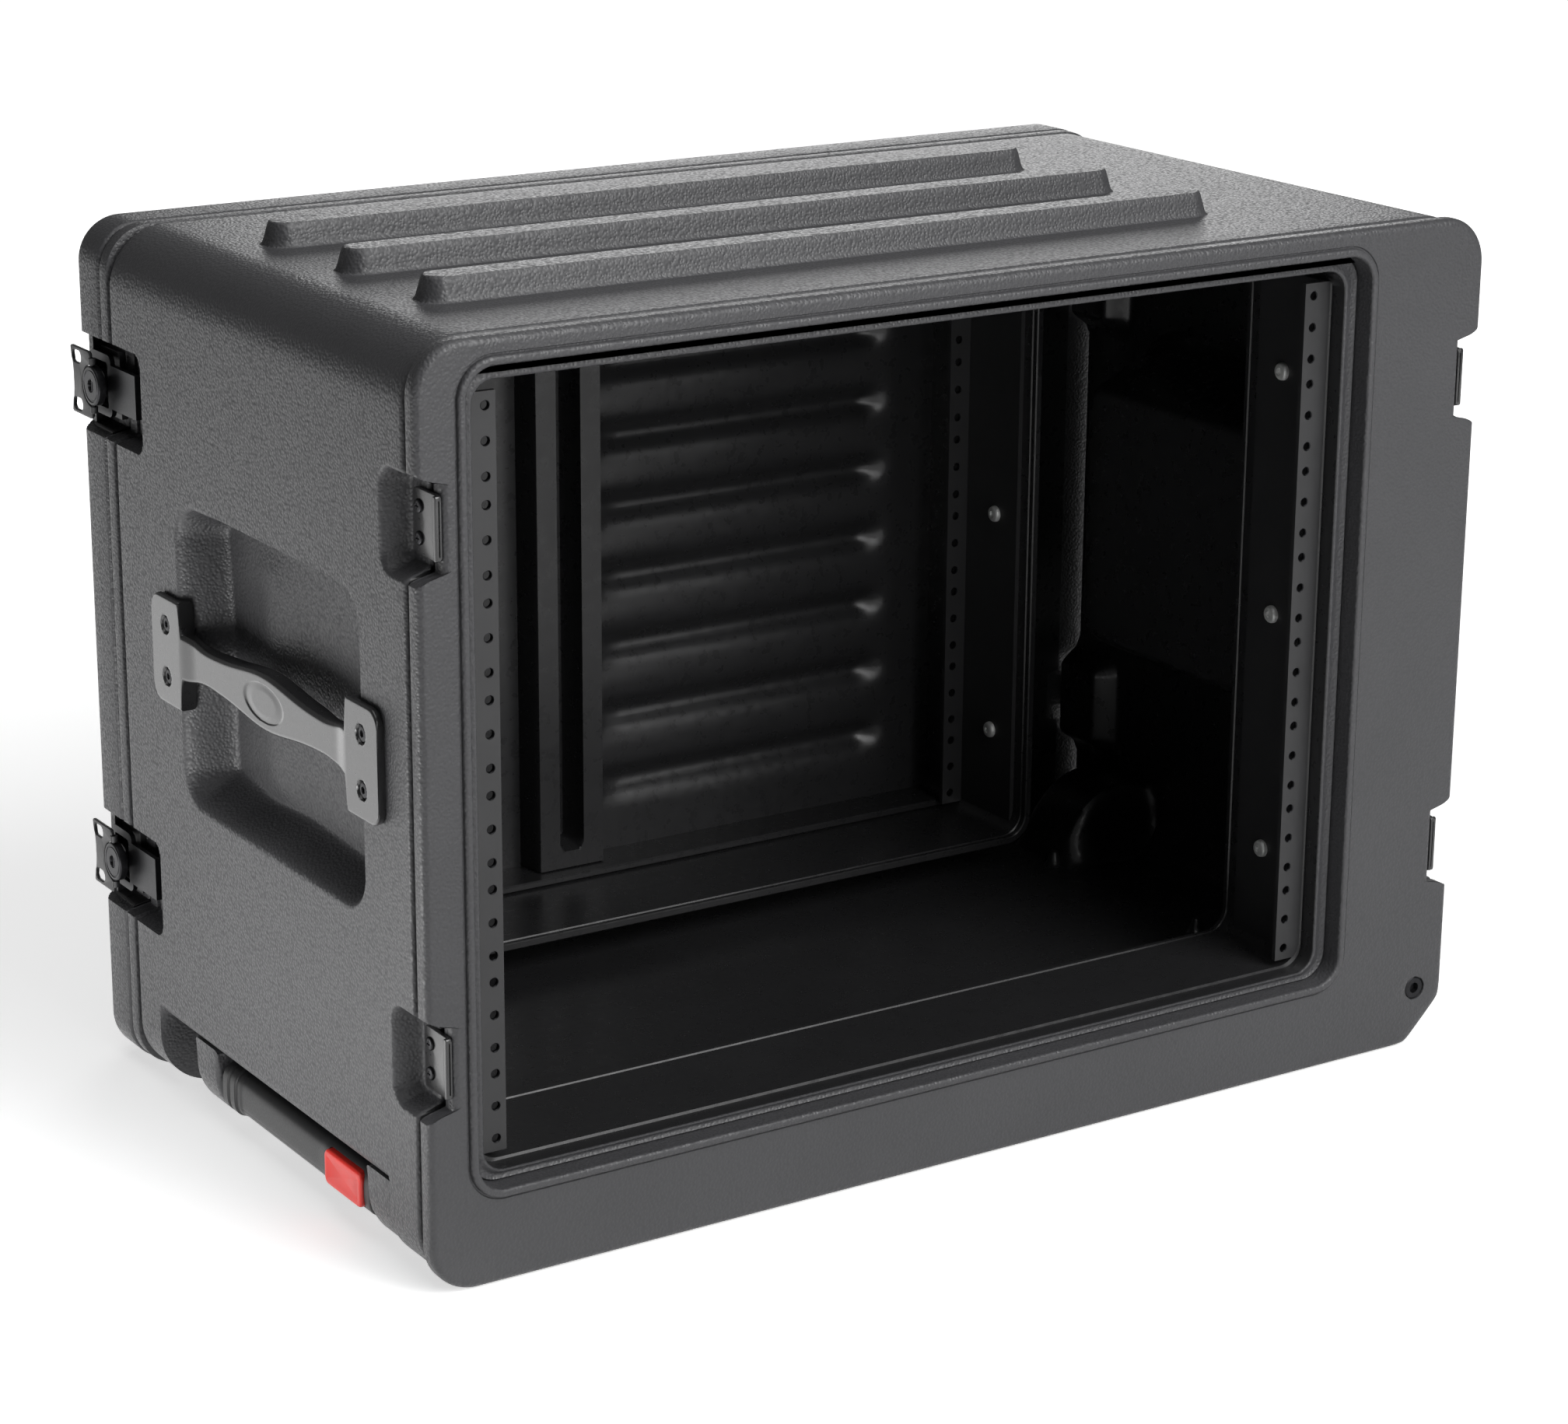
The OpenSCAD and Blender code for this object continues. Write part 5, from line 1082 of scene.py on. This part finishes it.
class RACKCASE_OT_pull(bpy.types.Operator):
    """Pull handle: tray shoulders, a rounded grip section carried along the case with collars, and the
    red button"""
    bl_idname = "rack_case.pull"
    bl_label = "Pull handle"

    def execute(self, context):
        s = sizes()
        shell, grip = shell_material(), grip_material()
        # Tray: back plate and two shoulders that follow the rounded lower edge
        y0, y1 = TRAY[1], TRAY[4]
        x1, top = TRAY[3], TRAY[5] - 0.3
        a = np.radians(np.linspace(180, 270, 14))
        r = s.body_r - 1
        low = np.stack([XL + 1 + r + r * np.cos(a), 1 + r + r * np.sin(a)], -1)
        sect = np.concatenate([[(XL + 1, top)], low, [(x1 - 0.2, 1)], [(x1 - 0.2, top)]])
        turn = lambda p, q, h: (p, h, q)
        parts = []
        for a0, a1 in ((y0, GRIP[1] - 0.5), (GRIP[4] + 0.5, GRIP[4] + 26.5)):
            parts.append((loft(sect, edge_levels(a0 + 0.2, a1 - 0.1, 3.2, 5), turn), (True, False), 0))
        back = plate_outline(y0 + 0.3, y1 - 0.3, 0.3, top, 2)
        parts.append((loft(back, edge_levels(x1 - 4, x1 - 0.2, 0.8), lambda p, q, h: (h, p, q)), (True,
            False), 0))
        piece("pull_tray_moulding", parts, "case", [shell], ["pull_tray"])

        # Grip: superellipse section with two collars, a lengthwise seam and a pocket for the button
        g0, g1 = GRIP[1], GRIP[4]
        cx, cz, hx, hz = XL + 15.0, 25.0, 12.0, 12.0
        y = lines(g0, g1, 3, (g0, g0 + 3, 0.5), (g1 - 22, g1, 0.45), (BUTTON[1] - 2, BUTTON[1] + 3, 0.4),
                  (BUTTON[4] - 3, BUTTON[4] + 2, 0.4))
        end = np.minimum(y - g0, g1 - y)
        size = 1 - (1.6 - np.sqrt(np.maximum(1.6 ** 2 - np.maximum(1.6 - end, 0) ** 2, 0))) / 12
        waist = 1 - 0.045 * ease(g1 - 19 - y, 3) * ease(y - BUTTON[4] - 1, 8)
        ring = sum(ease(3 - np.abs(y - c), 0.7) for c in (g1 - 5, g1 - 13))
        t = np.linspace(0, 2 * np.pi, 120, endpoint=False)
        c, q = np.cos(t), np.sin(t)
        sx, sz = np.sign(c) * np.abs(c) ** 0.62, np.sign(q) * np.abs(q) ** 0.62
        scale = (size * waist + ring * 0.075)[:, None]
        body = ease(g1 - 20 - y, 1)[:, None] * ease(y - BUTTON[4] - 2, 1)[:, None]
        seam = 1 - 0.03 * np.exp(-((t - np.radians(200)) / 0.022) ** 2)[None, :] * body
        px, pz = cx + hx * sx * scale * seam, cz + hz * sz * scale * seam
        pocket = inside(y[:, None], pz, (BUTTON[1] + BUTTON[4]) / 2, (BUTTON[2] + BUTTON[5]) / 2,
                        (BUTTON[4] - BUTTON[1]) / 2 + 0.4, (BUTTON[5] - BUTTON[2]) / 2 + 0.4, 4.3)
        px = px + (sx[None, :] < -0.2) * 6.5 * ease(pocket, 0.6)
        pts = capped(np.stack([px, np.broadcast_to(y[:, None], px.shape), pz], -1))
        piece("pull_grip_bar", [(pts, (False, True), 0)], "pull", [grip], ["pull_grip"], 35)

        # Button: a rounded block with a shallow dished face
        out = plate_outline(BUTTON[1], BUTTON[4], BUTTON[2], BUTTON[5], 4, 9)
        levels = edge_levels(0, BUTTON[3] - BUTTON[0], 1.6, 6)
        levels = levels[:-1] + [(1.6, BUTTON[3] - BUTTON[0]), (3.2, BUTTON[3] - BUTTON[0] - 0.05),
                                (3.9, BUTTON[3] - BUTTON[0] - 0.45)]
        piece("pull_button_cap", [(loft(out, levels, lambda p, q, h: (BUTTON[3] - h, p, q)), (True,
            False), 0)], "button",
              [button_material()], ["pull_button"])

        # Spring: a round wire wound between the button and the grip
        b = span("button_spring")
        turns, wire = 3.5, 0.55
        a = np.linspace(0, 2 * np.pi * turns, 120)
        rad = (b[4] - b[1]) / 2 - wire
        path = np.stack([b[0] + wire + (b[3] - b[0] - 2 * wire) * a / a[-1],
                         (b[1] + b[4]) / 2 + rad * np.cos(a),
                         (b[2] + b[5]) / 2 + rad * np.sin(a)], -1)
        out = np.stack([0 * a, np.cos(a), np.sin(a)], -1)
        th = np.linspace(0, 2 * np.pi, 10, endpoint=False)
        tube = path[:, None] + wire * (np.cos(th)[None, :, None] * out[:, None] + np.sin(th)[None, :,
            None] * np.array([1.0, 0, 0]))
        piece("button_coil", [(capped(tube), (False, True), 0)], "pull",
              [steel_material()], ["button_spring"])
        dress(aluminium_material(), "pull_sleeve_front", "pull_sleeve_rear", "pull_tube_front",
              "pull_tube_rear")
        return {"FINISHED"}


class RACKCASE_OT_wheels(bpy.types.Operator):
    """Wheels: turned tyres with a crowned tread, hubs with six hollows, and the axle bolts with a hexagon
    socket"""
    bl_idname = "rack_case.wheels"
    bl_label = "Wheels"

    def execute(self, context):
        for name, t in zip(("front", "rear"), TYRES):
            y, r, w = (t[1] + t[4]) / 2, (t[3] - t[0]) / 2, (t[4] - t[1]) / 2
            at = (AXLE_X, y, AXLE_Z)
            a = np.linspace(0, np.pi / 2, 6)
            tread = [(20.03, -w + 0.6), (20.6, -w), (r - 3.2, -w)]
            tread += [(r - 3.2 + 2.6 * np.sin(t2), -w + 2.6 * (1 - np.cos(t2))) for t2 in a[1:]]
            tread += [(r - 0.15, -w + 4.6), (r, -4.5), (r - 0.5, -4.1), (r - 0.5, -3.5), (r, -3.1)]
            tread = tread + [(q, -h) for q, h in tread[::-1]]
            piece(name + "_tyre", [(lathe(tread, 72, "y", at), (True, True), 0)], name + "_wheel",
                  [rubber_material()], [name + "_wheel_tyre"])
            hollow = lambda q, ang: 4.0 * ease(np.minimum(q - 12.2, 18.4 - q), 1.0) * ease(
                np.cos(6 * ang) + 0.55, 0.5)
            ring = np.r_[11.05, 11.5, np.linspace(12, 18.8, 12), 19.4, 19.9]
            face = [(q, w - (0.4 if q > 19.6 else 0)) for q in ring]
            half = lathe([(8, 0), (8, w - 7), (11.05, w - 7)] + face + [(20, w - 0.6), (20, 0)], 72, "y",
                         dent=lambda q, ang: hollow(q, ang) * (q > 11.6) * (q < 19))
            other = half.copy()
            other[..., 1] *= -1
            whole = np.concatenate([half, other[:, ::-1][:, 1:-1]], 1) + np.array(at)
            piece(name + "_wheel_centre", [(whole, (True, True), 0)], name + "_wheel",
                  [wheel_material()],
                  [name + "_wheel_hub"])
        bolts = []
        for t, y, out in ((TYRES[0], span("axle_bolts")[1], 1), (TYRES[1], span("axle_bolts")[4], -1)):
            reach = abs((t[1] + t[4]) / 2 + out * 22.9 - y)
            prof = [(q, 0) for q in np.linspace(0, 5.2, 12)] + [(5.7, 0.15), (6, 0.6), (6, 5), (4, 5), (4,
                reach), (0, reach)]
            p = lathe(prof, 60, "y", dent=lambda q, ang: -hexagon(2.5, 2.6)(q, ang) * (q < 5.3))
            bolts.append((p * np.array([1, out, 1]) + np.array([AXLE_X, y, AXLE_Z]), (True, False), 0))
        piece("axle_shoulder_bolts", bolts, "case", [black_screw_material()], ["axle_bolts"])
        dress(steel_material(), "front_wheel_bearings", "rear_wheel_bearings", "wheel_spacers")
        return {"FINISHED"}


class RACKCASE_OT_stage(bpy.types.Operator):
    """Stage: pale floor, soft lamps, white surroundings and the camera"""
    bl_idname = "rack_case.stage"
    bl_label = "Stage"

    def execute(self, context):
        scene = context.scene
        floor = piece_floor()
        lamps = (("key_overhead", (-0.2, -0.3, 2.3), 2.0, 15), ("front_high", (0.7, -1.9, 2.1), 1.6, 42),
                 ("front_low", (0.4, -2.6, 1.1), 1.6, 33), ("rim_middle", (1.4, 2.1, 1.1), 1.4, 14),
                 ("low_left", (-0.6, -0.02, 0.08), 0.2, 0.6))
        for name, place, size, power in lamps:
            light = bpy.data.lights.new(name, "AREA")
            light.shape, light.size, light.energy = "SQUARE", size, power
            obj = bpy.data.objects.new(name, light)
            scene.collection.objects.link(obj)
            d = np.array([0, 0, 0.2]) - np.array(place)
            d = d / np.linalg.norm(d)
            side = np.cross(d, (0, 0, 1) if abs(d[2]) < 0.95 else (0, 1, 0))
            side = side / np.linalg.norm(side)
            up = np.cross(side, d)
            m = Matrix.Identity(4)
            for k in range(3):
                m[k][0], m[k][1], m[k][2], m[k][3] = side[k], up[k], -d[k], place[k]
            obj.matrix_world = m
        world = bpy.data.worlds.new("studio")
        scene.world = world
        world.use_nodes = True
        world.node_tree.nodes.clear()
        sky = add(world, "ShaderNodeBackground", (3, 0), {"Strength": ray_strength(world, 0.0, 1.0,
            0.15)}, Color=(1, 1, 1, 1))
        add(world, "ShaderNodeOutputWorld", (4, 0), {"Surface": sky.outputs[0]})

        # Camera fitted to the rack holes of the photograph: 5102.9 px focal length on a 2016 px wide frame
        right, down, ahead = ((0.8392585, -0.5436904, 0.0067718), (-0.1561293, -0.2528988, -0.954812),
                              (0.5208347, 0.8002768, -0.2971334))
        cam = bpy.data.cameras.new("photo_camera")
        cam.sensor_width, cam.lens = 36.0, FOCAL_PX / FRAME_PX * 36
        cam.clip_end = 20
        obj = bpy.data.objects.new("photo_camera", cam)
        scene.collection.objects.link(obj)
        m = Matrix.Identity(4)
        for k in range(3):
            m[k][0], m[k][1], m[k][2] = right[k], -down[k], -ahead[k]
            m[k][3] = CAMERA_PLACE[k]
        obj.matrix_world = m
        scene.camera = obj
        scene.view_settings.view_transform = "Standard"
        return {"FINISHED"}


def ray_strength(owner, base, camera, glossy):
    """A strength that is base for every ray, with more for what the camera sees and for what is seen in a
    sheen or through glass. Both may be a number or a socket."""
    path = add(owner, "ShaderNodeLightPath", (0, 2))
    total = base
    for place, ray, gain in ((1, "Is Camera Ray", camera), (2, "Is Glossy Ray", glossy),
                              (3, "Is Transmission Ray", glossy)):
        node = add(owner, "ShaderNodeMath", (place, 2), {0: path.outputs[ray]}, operation="MULTIPLY_ADD")
        for socket, value in ((node.inputs[1], gain), (node.inputs[2], total)):
            if isinstance(value, bpy.types.NodeSocket):
                owner.node_tree.links.new(value, socket)
            else:
                socket.default_value = value
        total = node.outputs[0]
    return total


def piece_floor():
    """A wide flat floor with faint cloudiness, seen white, that keeps the shadow."""
    mesh = bpy.data.meshes.new("studio_floor")
    g = np.linspace(-6, 6, 5)
    x, y = np.meshgrid(g, g, indexing="ij")
    co = np.stack([x, y, 0 * x - 0.0004], -1).reshape(-1, 3)
    i, j = np.meshgrid(np.arange(4), np.arange(4), indexing="ij")
    q = np.stack([i * 5 + j, (i + 1) * 5 + j, (i + 1) * 5 + j + 1, i * 5 + j + 1], -1).reshape(-1, 4)
    mesh.from_pydata(co.tolist(), [], q.tolist())
    mat = blank("studio_floor_paper")
    out = add(mat, "ShaderNodeOutputMaterial", (4, 0))
    coord = add(mat, "ShaderNodeTexCoord", (0, 0))
    cloud = add(mat, "ShaderNodeTexNoise", (1, 0), {"Vector": coord.outputs["Object"]}, Scale=2.0)
    base = np.array(colours().floor)
    ramp = add(mat, "ShaderNodeValToRGB", (2, 0), {"Fac": cloud.outputs["Fac"]})
    ramp.color_ramp.elements[0].color = (*(base * 0.99), 1)
    ramp.color_ramp.elements[1].color = (*base, 1)
    paper = add(mat, "ShaderNodeBsdfDiffuse", (3, 0), {"Color": ramp.outputs[0]})
    split = add(mat, "ShaderNodeSeparateXYZ", (1, 3), {0: coord.outputs["Object"]})
    across = add(mat, "ShaderNodeMath", (2, 3), {0: split.outputs["Y"], 1: split.outputs["X"]},
                 operation="SUBTRACT")
    lit = add(mat, "ShaderNodeMapRange", (3, 3), {"Value": across.outputs[0]},
              interpolation_type="SMOOTHSTEP", From_Min=-0.3,
              From_Max=0.5, To_Min=0.12, To_Max=0.95)
    reach = add(mat, "ShaderNodeVectorMath", (2, 4), {0: coord.outputs["Object"]}, operation="LENGTH")
    far = add(mat, "ShaderNodeMapRange", (3, 4), {"Value": reach.outputs["Value"]},
              interpolation_type="SMOOTHSTEP",
              From_Min=0.5, From_Max=1.5, To_Min=0.55, To_Max=1.0)
    glow = add(mat, "ShaderNodeEmission", (3, 2), {"Strength": ray_strength(mat, 0.0, far.outputs[0],
        lit.outputs[0])}, Color=(1, 1, 1, 1))
    both = add(mat, "ShaderNodeAddShader", (4, 1), {0: paper.outputs[0], 1: glow.outputs[0]})
    mat.node_tree.links.new(both.outputs[0], out.inputs[0])
    mesh.materials.append(mat)
    obj = bpy.data.objects.new("studio_floor", mesh)
    bpy.context.scene.collection.objects.link(obj)
    return obj


class RACKCASE_PT_panel(bpy.types.Panel):
    bl_label = "Rack case"
    bl_idname = "RACKCASE_PT_panel"
    bl_space_type = "VIEW_3D"
    bl_region_type = "UI"
    bl_category = "Rack case"

    def draw(self, context):
        for group, kind in ((context.scene.rack_case_sizes, RackCaseSizes),
                            (context.scene.rack_case_colours, RackCaseColours)):
            box = self.layout.box()
            for key in kind.__annotations__:
                box.prop(group, key)
        for op in OPERATORS:
            self.layout.operator(op.bl_idname)


OPERATORS = (RACKCASE_OT_body, RACKCASE_OT_frames, RACKCASE_OT_lid, RACKCASE_OT_rails, RACKCASE_OT_screws,
             RACKCASE_OT_handles, RACKCASE_OT_catches, RACKCASE_OT_latches, RACKCASE_OT_pull,
             RACKCASE_OT_wheels,
             RACKCASE_OT_stage)
CLASSES = (RackCaseSizes, RackCaseColours) + OPERATORS + (RACKCASE_PT_panel,)


def register():
    for cls in CLASSES:
        bpy.utils.register_class(cls)
    bpy.types.Scene.rack_case_sizes = bpy.props.PointerProperty(type=RackCaseSizes)
    bpy.types.Scene.rack_case_colours = bpy.props.PointerProperty(type=RackCaseColours)


def unregister():
    del bpy.types.Scene.rack_case_colours, bpy.types.Scene.rack_case_sizes
    for cls in reversed(CLASSES):
        bpy.utils.unregister_class(cls)


def main():
    register()
    for op in OPERATORS:
        group, call = op.bl_idname.split(".")
        getattr(getattr(bpy.ops, group), call)()


if __name__ == "__main__":
    main()
